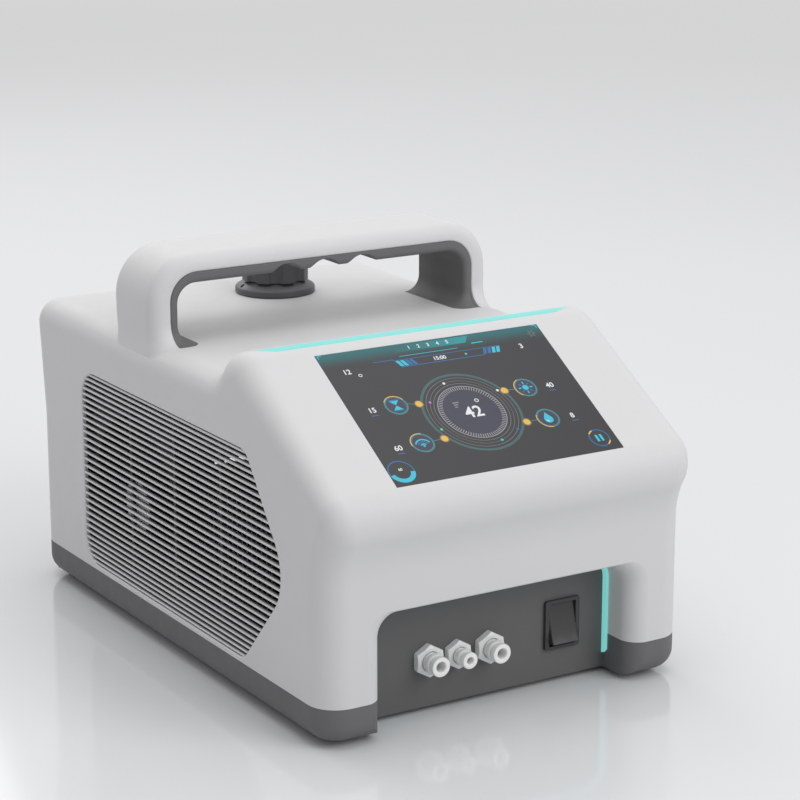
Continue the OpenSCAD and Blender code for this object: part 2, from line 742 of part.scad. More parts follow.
module port_panel() {
    color("gray") difference() {
        along_y(panel_y, panel_y + panel_t) polygon(rounded([
            [-panel_half_w, foot_h + 0.3, 1], [panel_half_w, foot_h + 0.3, 1],
            [panel_half_w, panel_top, 14], [-panel_half_w, panel_top, 14]]));
        for (i = [0 : 2]) translate([port_xs[i], 0, port_z])
            rod_y(panel_y - 1, panel_y + 10, stud_r(port_ds[i]) + 0.2);
        translate([switch_x, 0, switch_z]) box(-bezel_w / 2 + 1.4, bezel_w / 2 - 1.4,
            panel_y - 1, panel_y + 10, -bezel_h / 2 + 1.5, bezel_h / 2 - 1.5);
    }
}

hex_t = 5;
barb_l = 24;
tube_play = 0.15;
tube_lead = 0.7;
// one push-in bulkhead fitting for a tube of diameter d, its axis along Y
module fitting(x, d) {
    front = panel_y - port_out + 3.2 + collar_travel + 0.3;
    color("whitesmoke") translate([x, 0, port_z]) difference() {
        union() {
            translate([0, panel_y, 0]) rotate([90, 90, 0]) cylinder(h = hex_t, r = hex_r(d), $fn = 6);
            rod_y(front, panel_y, d / 2 + 1.9);
            rod_y(front + 2, front + 4, d / 2 + 2.4);
            rod_y(panel_y - eps, panel_y + 11, stud_r(d));
            rod_y(panel_y + 11 - eps, panel_y + barb_l + 2, d / 2);
        }
        rod_y(front - 1, front + 8, collar_r(d) + run_gap);
        rod_y(front + 7, front + 20, d / 2 + run_gap);
        rod_y(front + 19, panel_y + barb_l + 3, d / 2 - 1.3);
    }
}

module collar(x, d) {
    front = panel_y - port_out;
    color("white") translate([x, 0, port_z]) difference() {
        union() {
            rod_y(front, front + 3.2, d / 2 + 2);
            rod_y(front + 3.2 - eps, front + 10, collar_r(d));
        }
        rod_y(front - 1, front + 11, d / 2 + tube_play);
        rod_y(front - 1, front + 0.6, d / 2 + tube_lead);
    }
}

module fitting_nuts() {
    color("whitesmoke") for (i = [0 : 2]) translate([port_xs[i], panel_y + panel_t + 5, port_z])
        difference() {
            rotate([90, 90, 0]) cylinder(h = 5, r = hex_r(port_ds[i]) * 0.97, $fn = 6);
            rod_y(-6, 1, stud_r(port_ds[i]) + run_gap);
        }
}

module switch_body() {
    ap_w = bezel_w - 5.8;
    ap_h = bezel_h - 4.2;
    color("black") translate([switch_x, 0, switch_z]) difference() {
        union() {
            along_y(panel_y - bezel_t, panel_y) polygon(rounded([
                [-bezel_w / 2, -bezel_h / 2, 1.5], [bezel_w / 2, -bezel_h / 2, 1.5],
                [bezel_w / 2, bezel_h / 2, 1.5], [-bezel_w / 2, bezel_h / 2, 1.5]], 4));
            box(-bezel_w / 2 + 1.5, bezel_w / 2 - 1.5, panel_y - eps, panel_y + 24,
                -bezel_h / 2 + 1.6, bezel_h / 2 - 1.6);
        }
        box(-ap_w / 2, ap_w / 2, panel_y - 10, panel_y + 10, -ap_h / 2, ap_h / 2);
        translate([0, panel_y, 0]) rod_x(-bezel_w, bezel_w, 1.5 + run_gap);
    }
    color("silver") for (z = [-9, 0, 9]) translate([switch_x, 0, switch_z + z])
        box(-0.4, 0.4, panel_y + 24 - eps, panel_y + 31, -2.4, 2.4);
}

module rocker_paddle() {
    hw = (bezel_w - 5.8) / 2 - 0.3;
    hl = (bezel_h - 4.2) / 2 - 1.1;
    rise = hl * tan(rocker_half_angle);
    color("black") translate([switch_x, panel_y, switch_z]) rotate([-rocker_half_angle, 0, 0]) {
        translate([-hw, 0, 0]) rotate([90, 0, 90]) linear_extrude(2 * hw)
            polygon([[-1, 0], [-1 - rise, hl], [1, hl - 0.4], [4, 5], [4, -5], [1, -hl + 0.4],
                [-1 - rise, -hl]]);
        rod_x(-hw - 1, hw + 1, 1.5);
    }
}

// ---- display ----
module display_glass() {
    color("black") on_slope() centred(glass_w, glass_h, -glass_t, 0);
}

lcd_w = glass_w - 2 * glass_ledge - 2;
lcd_h = glass_h - 2 * glass_ledge - 2;
module lcd_module() {
    color("darkslategray") on_slope() centred(lcd_w, lcd_h, -glass_t - lcd_t, -glass_t);
}

module display_bracket() {
    back = -glass_t - lcd_t;
    color("silver") on_slope() {
        centred(glass_w, glass_h, back - 1.5, back);
        for (x = [-1, 1], y = [-1, 1]) difference() {
            translate([x * (glass_w / 2 - 2.5), y * (glass_h / 2 - 2.5), back - eps])
                cylinder(h = -wall - back + eps, r = 2.2);
            centred(lcd_w + 0.4, lcd_h + 0.4, back, 0);
        }
    }
}

// ---- side grilles ----
function slat_z(k) = let (u = 2 * (k + 0.5) / slat_count - 1)
    (grille_low + grille_high) / 2
    + (grille_high - grille_low) / 2 * ((1 + slat_spread) * u - slat_spread * pow(u, 3));

// grille drawn for the right side
module grille() {
    difference() {
        along_x(grille_in, in_x) polygon(rounded(grille_grown(grille_rim)));
        along_x(grille_in - 1, in_x + 1) polygon(rounded(grille_grown(-0.6)));
        box(grille_in - 1, in_x + 1, -body_d, body_d, 0, seam_h + fit_gap);
    }
    intersection() {
        along_x(grille_in, half_w) polygon(rounded(grille_grown(-0.1)));
        for (k = [0 : slat_count - 1]) translate([0, 0, slat_z(k)])
            box(half_w - 0.2 - slat_d - 2, half_w - 0.2, -half_w * 2, half_w * 2,
                -slat_h / 2, slat_h / 2);
    }
    intersection() {
        along_x(grille_in, in_x) polygon(rounded(grille_grown(0)));
        for (y = [-60, 0, 60]) box(grille_in, in_x, fan_y - 60 + y - 1.5, fan_y - 60 + y + 1.5,
            0, top_h);
    }
}

module right_grille() {
    color("lightgray") grille();
}

module left_grille() {
    color("lightgray") mirror([1, 0, 0]) grille();
}

// ---- filler neck and cap ----
module filler_neck() {
    color("gray") translate([filler_x, filler_y, 0]) difference() {
        union() {
            translate([0, 0, tank_top - 8]) cylinder(h = top_h - tank_top + 8, r = neck_r);
            translate([0, 0, top_h]) cylinder(h = neck_flange_t, r = neck_flange_r);
        }
        translate([0, 0, tank_top - 9]) cylinder(h = 50, r = neck_bore / 2);
    }
}

module cap_gasket() {
    color("black") translate([filler_x, filler_y, top_h + neck_flange_t + run_gap]) difference() {
        cylinder(h = gasket_t, r = neck_bore / 2 + 4);
        translate([0, 0, -1]) cylinder(h = gasket_t + 2, r = neck_bore / 2 + 1);
    }
}

module filler_cap() {
    flange_t = 2.5;
    kr = cap_knob_d / 2;
    skirt = 4;
    rim_h = cap_low - top_h - fit_gap;
    flute_r = 6;
    flute_place = 25.6;
    flute_turn = 18.4;
    color("dimgray") translate([filler_x, filler_y, cap_low]) {
        difference() {
            union() {
                cylinder(h = flange_t, r = cap_flange_d / 2);
                translate([0, 0, flange_t]) cylinder(h = skirt, r1 = cap_flange_d / 2, r2 = kr - 4);
                difference() {
                    translate([0, 0, -rim_h]) cylinder(h = rim_h + eps, r = cap_flange_d / 2);
                    translate([0, 0, -rim_h - 1]) cylinder(h = rim_h + 2, r = neck_flange_r + fit_gap);
                }
            }
            rotate([0, 0, 215]) translate([cap_flange_d / 2 - 2.6, 0, -1]) cylinder(h = 20, r = 1.4);
        }
        difference() {
            translate([0, 0, flange_t]) {
                cylinder(h = cap_knob_h - 2, r = kr);
                translate([0, 0, cap_knob_h - 2]) cylinder(h = 2, r1 = kr, r2 = kr - 2);
            }
            for (i = [0 : cap_lobes - 1]) rotate([0, 0, 360 / cap_lobes * i + flute_turn])
                translate([flute_place, 0, flange_t + skirt]) cylinder(h = 40, r = flute_r);
            translate([0, 0, flange_t + cap_knob_h - 1.5]) cylinder(h = 10, r = kr - 7);
            difference() {
                translate([0, 0, flange_t]) cylinder(h = skirt, r = kr + 1);
                translate([0, 0, flange_t - eps]) cylinder(h = skirt + 1, r = kr - 4);
            }
        }
        translate([0, 0, -12]) difference() {
            cylinder(h = 12 + eps, r = neck_bore / 2 - run_gap);
            translate([0, 0, -1]) cylinder(h = 11, r = neck_bore / 2 - 3);
        }
    }
}

// ---- tank and its bracket ----
tank_top = top_h - wall - tank_gap;
tank_x = 8;
tank_y1 = in_rear_y - 8;
tank_y0 = tank_y1 - tank_d;
tank_t = 2.5;
tank_x0 = tank_x - tank_w / 2;
tank_x1 = tank_x + tank_w / 2;
module water_tank() {
    color("lightblue") {
        difference() {
            translate([0, 0, tank_low]) linear_extrude(tank_top - tank_low) polygon(rounded([
                [tank_x0, tank_y0, 10], [tank_x1, tank_y0, 10], [tank_x1, tank_y1, 10],
                [tank_x0, tank_y1, 10]], 6));
            translate([0, 0, tank_low + tank_t]) linear_extrude(tank_top - tank_low - 2 * tank_t)
                polygon(rounded([[tank_x0 + tank_t, tank_y0 + tank_t, 8],
                    [tank_x1 - tank_t, tank_y0 + tank_t, 8], [tank_x1 - tank_t, tank_y1 - tank_t, 8],
                    [tank_x0 + tank_t, tank_y1 - tank_t, 8]], 6));
            translate([filler_x, filler_y, tank_top - 5]) cylinder(h = 10, r = neck_r + run_gap);
            translate([pump_x, pump_y, tank_low - 1]) cylinder(h = 5, r = hose_d / 2 - 1.2);
            translate([return_x, 0, return_z]) rod_y(tank_y0 - 1, tank_y0 + 5, hose_d / 2 - 1.2);
            translate([sensor_x, filler_y, tank_top - 5]) cylinder(h = 10, r = 5 + run_gap);
        }
        translate([pump_x, pump_y, tank_low - 8]) difference() {
            cylinder(h = 8 + eps, r = hose_d / 2 - 0.2);
            translate([0, 0, -1]) cylinder(h = 12, r = hose_d / 2 - 1.2);
        }
        translate([return_x, 0, return_z]) difference() {
            rod_y(tank_y0 - 8, tank_y0 + eps, hose_d / 2 - 0.2);
            rod_y(tank_y0 - 9, tank_y0 + 2, hose_d / 2 - 1.2);
        }
    }
}

sensor_x = -34;
return_x = 6;
return_z = tank_low + 18;
module level_sensor() {
    color("white") translate([sensor_x, filler_y, tank_top]) {
        cylinder(h = 8, r = 9);
        translate([0, 0, -40]) cylinder(h = 40 + eps, r = 5);
        translate([0, 0, -34]) difference() {
            cylinder(h = 14, r = 9);
            translate([0, 0, -1]) cylinder(h = 16, r = 4.9);
        }
    }
}

module tank_bracket() {
    z1 = tank_low;
    t = 2;
    color("silver") difference() {
        box(tank_x0 - 4, tank_x1 + 4, tank_y0 + 6, tank_y1 - 6, plate_top, z1);
        box(tank_x0 - 4 + t, tank_x1 + 4 - t, tank_y0, tank_y1, plate_top - 1, z1 - t);
        translate([pump_x, pump_y, z1 - 10]) cylinder(h = 20, r = hose_d / 2 + 2);
    }
}

// ---- pumps ----
plate_top = tray_floor + 1.5;
pump_x = 44;
pump_y = tank_y0 + 42;
pump_r = 22;
motor_top = plate_top + 32;
volute_top = motor_top + 16;
outlet_x = pump_x - 13;
outlet_z = motor_top + 8;
module pump_motor() {
    color("darkslategray") translate([pump_x, pump_y, 0]) difference() {
        translate([0, 0, plate_top]) cylinder(h = motor_top - plate_top, r = pump_r - 4);
        translate([0, 0, motor_top - 12]) cylinder(h = 20, r = 1.5 + run_gap);
    }
}

module pump_volute() {
    color("dimgray") difference() {
        union() {
            translate([pump_x, pump_y, motor_top]) {
                cylinder(h = volute_top - motor_top, r = pump_r);
                cylinder(h = volute_top - motor_top + 8, r = hose_d / 2 - 0.2);
            }
            translate([outlet_x, 0, outlet_z]) rod_y(pump_y - pump_r - 6, pump_y, hose_d / 2 - 0.2);
        }
        translate([pump_x, pump_y, motor_top - 1])
            cylinder(h = volute_top - motor_top - 1.5, r = pump_r - 3);
        translate([pump_x, pump_y, motor_top]) cylinder(h = 40, r = hose_d / 2 - 1.2);
        translate([outlet_x, 0, outlet_z]) rod_y(pump_y - pump_r - 8, pump_y - 5, hose_d / 2 - 1.2);
    }
}

module pump_impeller() {
    color("white") translate([pump_x, pump_y, motor_top]) {
        translate([0, 0, 0.4]) cylinder(h = 2, r = pump_r - 4);
        translate([0, 0, -10]) cylinder(h = 14, r = 1.5);
        for (i = [0 : 5]) rotate([0, 0, 60 * i]) translate([3, -0.6, 2.4 - eps])
            cube([pump_r - 8, 1.2, 8]);
        translate([0, 0, 2.4 - eps]) cylinder(h = 8, r = 4);
    }
}

air_x0 = tank_x0 + 4;
air_y0 = tank_y0 + 22;
module air_pump() {
    color("dimgray") {
        box(air_x0, air_x0 + 52, air_y0, air_y0 + 64, plate_top, plate_top + 46);
        for (y = [16, 48]) translate([air_x0 + 26, air_y0 + y, plate_top + 46 - eps])
            cylinder(h = 10, r = 12);
        translate([air_x0 + 20, 0, plate_top + 12]) rod_y(air_y0 - 2, air_y0 + eps, 3);
    }
}

valve_w = 18;
module air_valve() {
    color("silver") {
        box(air_x0 + 20 - valve_w / 2, air_x0 + 20 + valve_w / 2, air_y0 - 22, air_y0 - 2,
            plate_top, plate_top + 24);
        translate([0, air_y0 - 12, plate_top + 12]) rod_x(air_x0 + 20 + valve_w / 2 - eps,
            air_x0 + 20 + valve_w / 2 + 6, air_hose_d / 2 - 0.2);
    }
}

// ---- thermal stack in the middle of the machine ----
sink_y1 = fan_y - fan_size / 2 - 4;
sink_y0 = sink_y1 - sink_l;
sink_base = 8;
block_y0 = sink_y0 + 4;
block_y1 = sink_y1 - 4;
block_low = plate_top + 28;
block_top = block_low + 60;
nipple_z = block_low + 37;
module cold_block() {
    color("lightsteelblue") difference() {
        union() {
            box(-block_half_t, block_half_t, block_y0, block_y1, block_low, block_top);
            translate([0, 0, nipple_z]) rod_y(block_y0 - 8, block_y1 + 8, hose_d / 2 - 0.2);
        }
        translate([0, 0, nipple_z]) rod_y(block_y0 - 9, block_y1 + 9, hose_d / 2 - 1.2);
    }
}

module peltiers() {
    for (y = [-1, 1]) translate([0, (block_y0 + block_y1) / 2 + y * 21, (block_low + block_top) / 2])
        box(block_half_t, block_half_t + peltier_t, -20, 20, -20, 20);
}

module right_peltiers() {
    color("white") peltiers();
}

module left_peltiers() {
    color("white") mirror([1, 0, 0]) peltiers();
}

module heat_sink() {
    x0 = block_half_t + peltier_t;
    fins = floor((sink_l - 1.4) / fin_pitch);
    box(x0, x0 + sink_base, sink_y0, sink_y1, plate_top, plate_top + sink_h);
    for (i = [0 : fins]) translate([0, sink_y0 + i * fin_pitch, 0])
        box(x0 + sink_base - eps, sink_reach, 0, 1.4, plate_top, plate_top + sink_h);
}

module right_heat_sink() {
    color("silver") heat_sink();
}

module left_heat_sink() {
    color("silver") mirror([1, 0, 0]) heat_sink();
}

// ---- fans, drawn for the right side ----
fan_x1 = grille_in;
fan_x0 = fan_x1 - fan_t;
fan_hole = fan_size / 2 - 7.5;
fan_r = fan_size / 2 - 3;
hub_r = 19;
module fan_frame() {
    translate([0, fan_y, fan_z]) {
        difference() {
            along_x(fan_x0, fan_x1) difference() {
                polygon(rounded([for (s = [[-1, -1], [1, -1], [1, 1], [-1, 1]])
                    [s[0] * fan_size / 2, s[1] * fan_size / 2, 6]], 4));
                circle(r = fan_r);
            }
            for (y = [-1, 1], z = [-1, 1]) translate([0, y * fan_hole, z * fan_hole])
                rod_x(fan_x0 - 1, fan_x1 + 1, 2.15);
        }
        difference() {
            union() {
                rod_x(fan_x0, fan_x0 + 3, hub_r);
                for (i = [0 : 3]) rotate([90 * i + 45, 0, 0])
                    box(fan_x0, fan_x0 + 3, -2, 2, hub_r - 1, fan_r + 2);
                rod_x(fan_x0, fan_x0 + 12, 4);
            }
            rod_x(fan_x0 - 1, fan_x0 + 30, 1.5 + run_gap);
        }
    }
}

module fan_rotor() {
    translate([0, fan_y, fan_z]) {
        difference() {
            rod_x(fan_x0 + 4, fan_x1 - 1.5, hub_r - 0.5);
            rod_x(fan_x0 + 3, fan_x0 + 13, hub_r - 2);
        }
        rod_x(fan_x0 + 1, fan_x0 + 14, 1.5);
        for (i = [0 : blade_count - 1]) rotate([360 / blade_count * i, 0, 0])
            translate([(fan_x0 + fan_x1) / 2 + 1, 0, hub_r - 2]) rotate([0, 0, 40])
                box(-12.5, 12.5, -0.9, 0.9, 0, fan_r - hub_r - 1);
    }
}

module right_fan_frame() {
    color("darkslategray") fan_frame();
}

module left_fan_frame() {
    color("darkslategray") mirror([1, 0, 0]) fan_frame();
}

module right_fan_rotor() {
    color("dimgray") fan_rotor();
}

module left_fan_rotor() {
    color("dimgray") mirror([1, 0, 0]) fan_rotor();
}

module fan_screws() {
    color("silver") for (s = [-1, 1], y = [-1, 1], z = [-1, 1])
        translate([0, fan_y + y * fan_hole, fan_z + z * fan_hole]) mirror([s > 0 ? 0 : 1, 0, 0]) {
            rod_x(fan_x0 - 0.1, fan_x1 - 0.5, 2);
            rod_x(fan_x0 - 2.1, fan_x0, 3.6);
        }
}

// ---- electrics ----
psu = [-84, -20, 6, 72];
module power_supply() {
    top = plate_top + 42;
    color("silver") difference() {
        box(psu[0], psu[1], psu[2], psu[3], plate_top, top);
        for (i = [0 : 7]) translate([psu[0] + 8 + i * 7, (psu[2] + psu[3]) / 2, top - 1.5])
            box(-1.5, 1.5, -22, 22, 0, 5);
    }
}

module control_board() {
    z0 = plate_top + 42 + 6;
    color("darkgreen") {
        box(psu[0], psu[1], psu[2], psu[3], z0, z0 + 1.6);
        for (x = [psu[0] + 5, psu[1] - 5], y = [psu[2] + 5, psu[3] - 5]) translate([x, y, z0 - 6])
            cylinder(h = 6 + eps, r = 2.5);
    }
    color("black") {
        box(psu[0] + 14, psu[0] + 28, psu[2] + 20, psu[2] + 34, z0 + 1.6 - eps, z0 + 3.4);
        box(psu[0] + 38, psu[0] + 56, psu[2] + 12, psu[2] + 24, z0 + 1.6 - eps, z0 + 10);
        for (i = [0 : 3]) translate([psu[0] + 38 + i * 6, psu[2] + 44, z0 + 1.6 - eps])
            cylinder(h = 9, r = 2.6);
    }
}

module chassis_plate() {
    color("silver") difference() {
        translate([0, 0, tray_floor]) linear_extrude(plate_top - tray_floor) polygon(rounded([
            [-106, panel_y + 14, 8], [106, panel_y + 14, 8], [106, rear_y - 20, 8],
            [-106, rear_y - 20, 8]], 4));
        translate([0, 0, tray_floor - 1]) for (x = [-98, 98], y = [-100, 0, 100])
            translate([x, y, 0]) cylinder(h = 5, r = 2);
    }
}

// ---- hoses: a round tube along smoothed points ----
function spline(p, i, s) =
    let (a = p[max(i - 1, 0)], b = p[i], c = p[i + 1], d = p[min(i + 2, len(p) - 1)])
    0.5 * (2 * b + (c - a) * s + (2 * a - 5 * b + 4 * c - d) * s * s
        + (3 * b - 3 * c + d - a) * s * s * s);
function smooth(p, n) = concat([for (i = [0 : len(p) - 2], j = [0 : n - 1]) spline(p, i, j / n)],
    [p[len(p) - 1]]);
function tangent(p, i) = unit(i == 0 ? p[1] - p[0] : i == len(p) - 1 ? p[i] - p[i - 1]
    : p[i + 1] - p[i - 1]);
function frames(p, i, f) = i == len(p) ? []
    : let (t = tangent(p, i), g = unit(f - (f * t) * t))
        concat([[t, g]], frames(p, i + 1, g));
module hose(route, r, steps = 3, sides = 10) {
    p = smooth(route, steps);
    f = frames(p, 0, [0.1, 0.2, 1]);
    loft([for (i = [0 : len(p) - 1]) let (g = f[i][1], h = cross(f[i][0], g))
        [for (k = [0 : sides - 1]) let (a = -360 * k / sides)
            p[i] + r * (cos(a) * g + sin(a) * h)]]);
}

hose_gap = 0.4;
barb_y = panel_y + barb_l + 2 + hose_gap;
module suction_hose() {
    color("white") hose([[pump_x, pump_y, volute_top + 8], [pump_x, pump_y, tank_low - 8]],
        hose_d / 2);
}

module delivery_hose() {
    y0 = pump_y - pump_r - 6 - hose_gap;
    color("white") hose([[outlet_x, y0, outlet_z], [outlet_x, y0 - 8, outlet_z],
        [28, 66, outlet_z + 3], [20, 36, 58], [8, 12, nipple_z - 5], [0, 2, nipple_z],
        [0, block_y1 + 8 + hose_gap, nipple_z]], hose_d / 2);
}

module supply_hose() {
    color("white") hose([[port_xs[0], barb_y, port_z], [port_xs[0], barb_y + 8, port_z],
        [port_xs[0] + 4, barb_y + 15, port_z + 8], [-22, barb_y + 16, 55],
        [-5, block_y0 - 22, nipple_z - 3], [0, block_y0 - 16, nipple_z],
        [0, block_y0 - 8 - hose_gap, nipple_z]], hose_d / 2);
}

module return_hose() {
    color("white") hose([[port_xs[2], barb_y, port_z], [port_xs[2], barb_y + 8, port_z - 1],
        [return_x, barb_y + 34, 22], [return_x, -50, 22], [return_x, 0, 22], [return_x, 40, 26],
        [return_x, 58, 50], [return_x, 60, 84], [return_x, tank_y0 - 17, return_z - 2],
        [return_x, tank_y0 - 8 - hose_gap, return_z]], hose_d / 2);
}

module air_hose() {
    x1 = air_x0 + 20 + valve_w / 2 + 6 + hose_gap;
    color("white") hose([[port_xs[1], barb_y, port_z], [port_xs[1], barb_y + 8, port_z - 1],
        [-13, barb_y + 20, 26], [-8, barb_y + 36, 20], [-8, -40, 20], [-8, 20, 20],
        [-8, air_y0 - 34, 20], [-14, air_y0 - 16, 19.5], [x1 + 8, air_y0 - 12, plate_top + 12],
        [x1, air_y0 - 12, plate_top + 12]], air_hose_d / 2);
}

module supply_fitting() {
    fitting(port_xs[0], port_ds[0]);
}

module air_fitting() {
    fitting(port_xs[1], port_ds[1]);
}

module return_fitting() {
    fitting(port_xs[2], port_ds[2]);
}

module supply_collar() {
    collar(port_xs[0], port_ds[0]);
}

module air_collar() {
    collar(port_xs[1], port_ds[1]);
}

module return_collar() {
    collar(port_xs[2], port_ds[2]);
}

// sets the drawing with its zero under the middle of the whole box
module placed() {
    translate([0, -drawn_back, 0]) children();
}

placed() housing_shell();
placed() base_tray();
placed() rear_panel();
placed() handle_liner();
placed() crest_light();
placed() arch_light();
placed() port_panel();
placed() display_glass();
placed() lcd_module();
placed() display_bracket();
placed() left_grille();
placed() right_grille();
placed() rubber_feet();
placed() switch_body();
placed() rocker_paddle();
placed() supply_fitting();
placed() air_fitting();
placed() return_fitting();
placed() supply_collar();
placed() air_collar();
placed() return_collar();
placed() fitting_nuts();
placed() filler_neck();
placed() cap_gasket();
placed() filler_cap();
placed() water_tank();
placed() level_sensor();
placed() tank_bracket();
placed() pump_motor();
placed() pump_volute();
placed() pump_impeller();
placed() air_pump();
placed() air_valve();
placed() cold_block();
placed() left_peltiers();
placed() right_peltiers();
placed() left_heat_sink();
placed() right_heat_sink();
placed() left_fan_frame();
placed() right_fan_frame();
placed() left_fan_rotor();
placed() right_fan_rotor();
placed() fan_screws();
placed() power_supply();
placed() control_board();
placed() chassis_plate();
placed() inlet_socket();
placed() fuse_drawer();
placed() base_screws();
placed() rear_screws();
placed() suction_hose();
placed() delivery_hose();
placed() supply_hose();
placed() return_hose();
placed() air_hose();
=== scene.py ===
"""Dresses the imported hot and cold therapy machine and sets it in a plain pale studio.

Sizes are in millimetres: X to the user's right, -Y towards the user, +Z up, and zero on the surface
that the feet stand on. The drawing's zero lies DRAWN_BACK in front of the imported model's, so every
finished piece is moved forward by that much.
"""

from __future__ import annotations

import logging
import math
from collections.abc import Callable, Iterator, Sequence
from dataclasses import dataclass, field
from enum import Enum

import bpy
from mathutils import Matrix, Vector


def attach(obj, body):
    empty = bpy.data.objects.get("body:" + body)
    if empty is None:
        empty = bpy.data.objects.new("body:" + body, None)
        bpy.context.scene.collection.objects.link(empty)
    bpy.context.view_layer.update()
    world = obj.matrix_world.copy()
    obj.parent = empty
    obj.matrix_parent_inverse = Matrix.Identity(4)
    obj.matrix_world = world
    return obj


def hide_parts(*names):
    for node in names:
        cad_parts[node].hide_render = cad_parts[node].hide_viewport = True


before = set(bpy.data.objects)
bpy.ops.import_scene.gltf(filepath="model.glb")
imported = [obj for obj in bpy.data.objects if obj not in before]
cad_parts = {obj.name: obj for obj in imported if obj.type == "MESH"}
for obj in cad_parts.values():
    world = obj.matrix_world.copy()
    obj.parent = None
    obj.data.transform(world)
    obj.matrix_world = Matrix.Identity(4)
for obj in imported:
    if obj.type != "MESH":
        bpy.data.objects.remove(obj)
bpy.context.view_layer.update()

MM = 0.001
NEAR = 1e-7
MERGED = 1e-6
DRAWN_BACK = 3.0
LOG = logging.getLogger("therapy_machine")
Point = Sequence[float]
Piece = bpy.types.Object
Outline = list[tuple[float, float]]
Ring = list[tuple[float, ...]]


# ---------------------------------------------------------------- shader maths


class Sock:
    """A shader socket that takes part in arithmetic: each operation adds a Math node."""

    def __init__(self, shader: "Shader", socket: bpy.types.NodeSocket) -> None:
        """Wraps one output socket of a material's tree."""
        self.shader = shader
        self.socket = socket

    def maths(self, operation: str, *others: "Sock | float", first: "Sock | float | None" = None) -> "Sock":
        """Adds a Math node.

        Args:
            operation: the Math node's operation.
            others: what follows this socket in the operation.
            first: what stands before this socket, where the order matters.

        Returns:
            The node's result.
        """
        values = [self, *others] if first is None else [first, self]
        return self.shader.node("ShaderNodeMath", {"operation": operation}, dict(enumerate(values)))

    def __add__(self, other: "Sock | float") -> "Sock":
        """Returns the sum."""
        return self.maths("ADD", other)

    __radd__ = __add__

    def __sub__(self, other: "Sock | float") -> "Sock":
        """Returns the difference."""
        return self.maths("SUBTRACT", other)

    def __rsub__(self, other: float) -> "Sock":
        """Returns the difference with this socket on the right."""
        return self.maths("SUBTRACT", first=other)

    def __mul__(self, other: "Sock | float") -> "Sock":
        """Returns the product."""
        return self.maths("MULTIPLY", other)

    __rmul__ = __mul__

    def __truediv__(self, other: "Sock | float") -> "Sock":
        """Returns the quotient."""
        return self.maths("DIVIDE", other)

    def __gt__(self, other: "Sock | float") -> "Sock":
        """Returns 1 where this is the greater, and 0 elsewhere."""
        return self.maths("GREATER_THAN", other)

    def __lt__(self, other: "Sock | float") -> "Sock":
        """Returns 1 where this is the less, and 0 elsewhere."""
        return self.maths("LESS_THAN", other)

    def magnitude(self) -> "Sock":
        """Returns the value without its sign."""
        return self.maths("ABSOLUTE")

    def ramp(self, low: float, high: float, to_low: float = 0.0, to_high: float = 1.0) -> "Sock":
        """Returns the value mapped smoothly from low..high to to_low..to_high.

        Args:
            low: the value that maps to to_low.
            high: the value that maps to to_high.
            to_low: the result at low.
            to_high: the result at high.

        Returns:
            The mapped value.
        """
        return self.shader.node(
            "ShaderNodeMapRange",
            {"interpolation_type": "SMOOTHSTEP"},
            {0: self, 1: low, 2: high, 3: to_low, 4: to_high},
        )


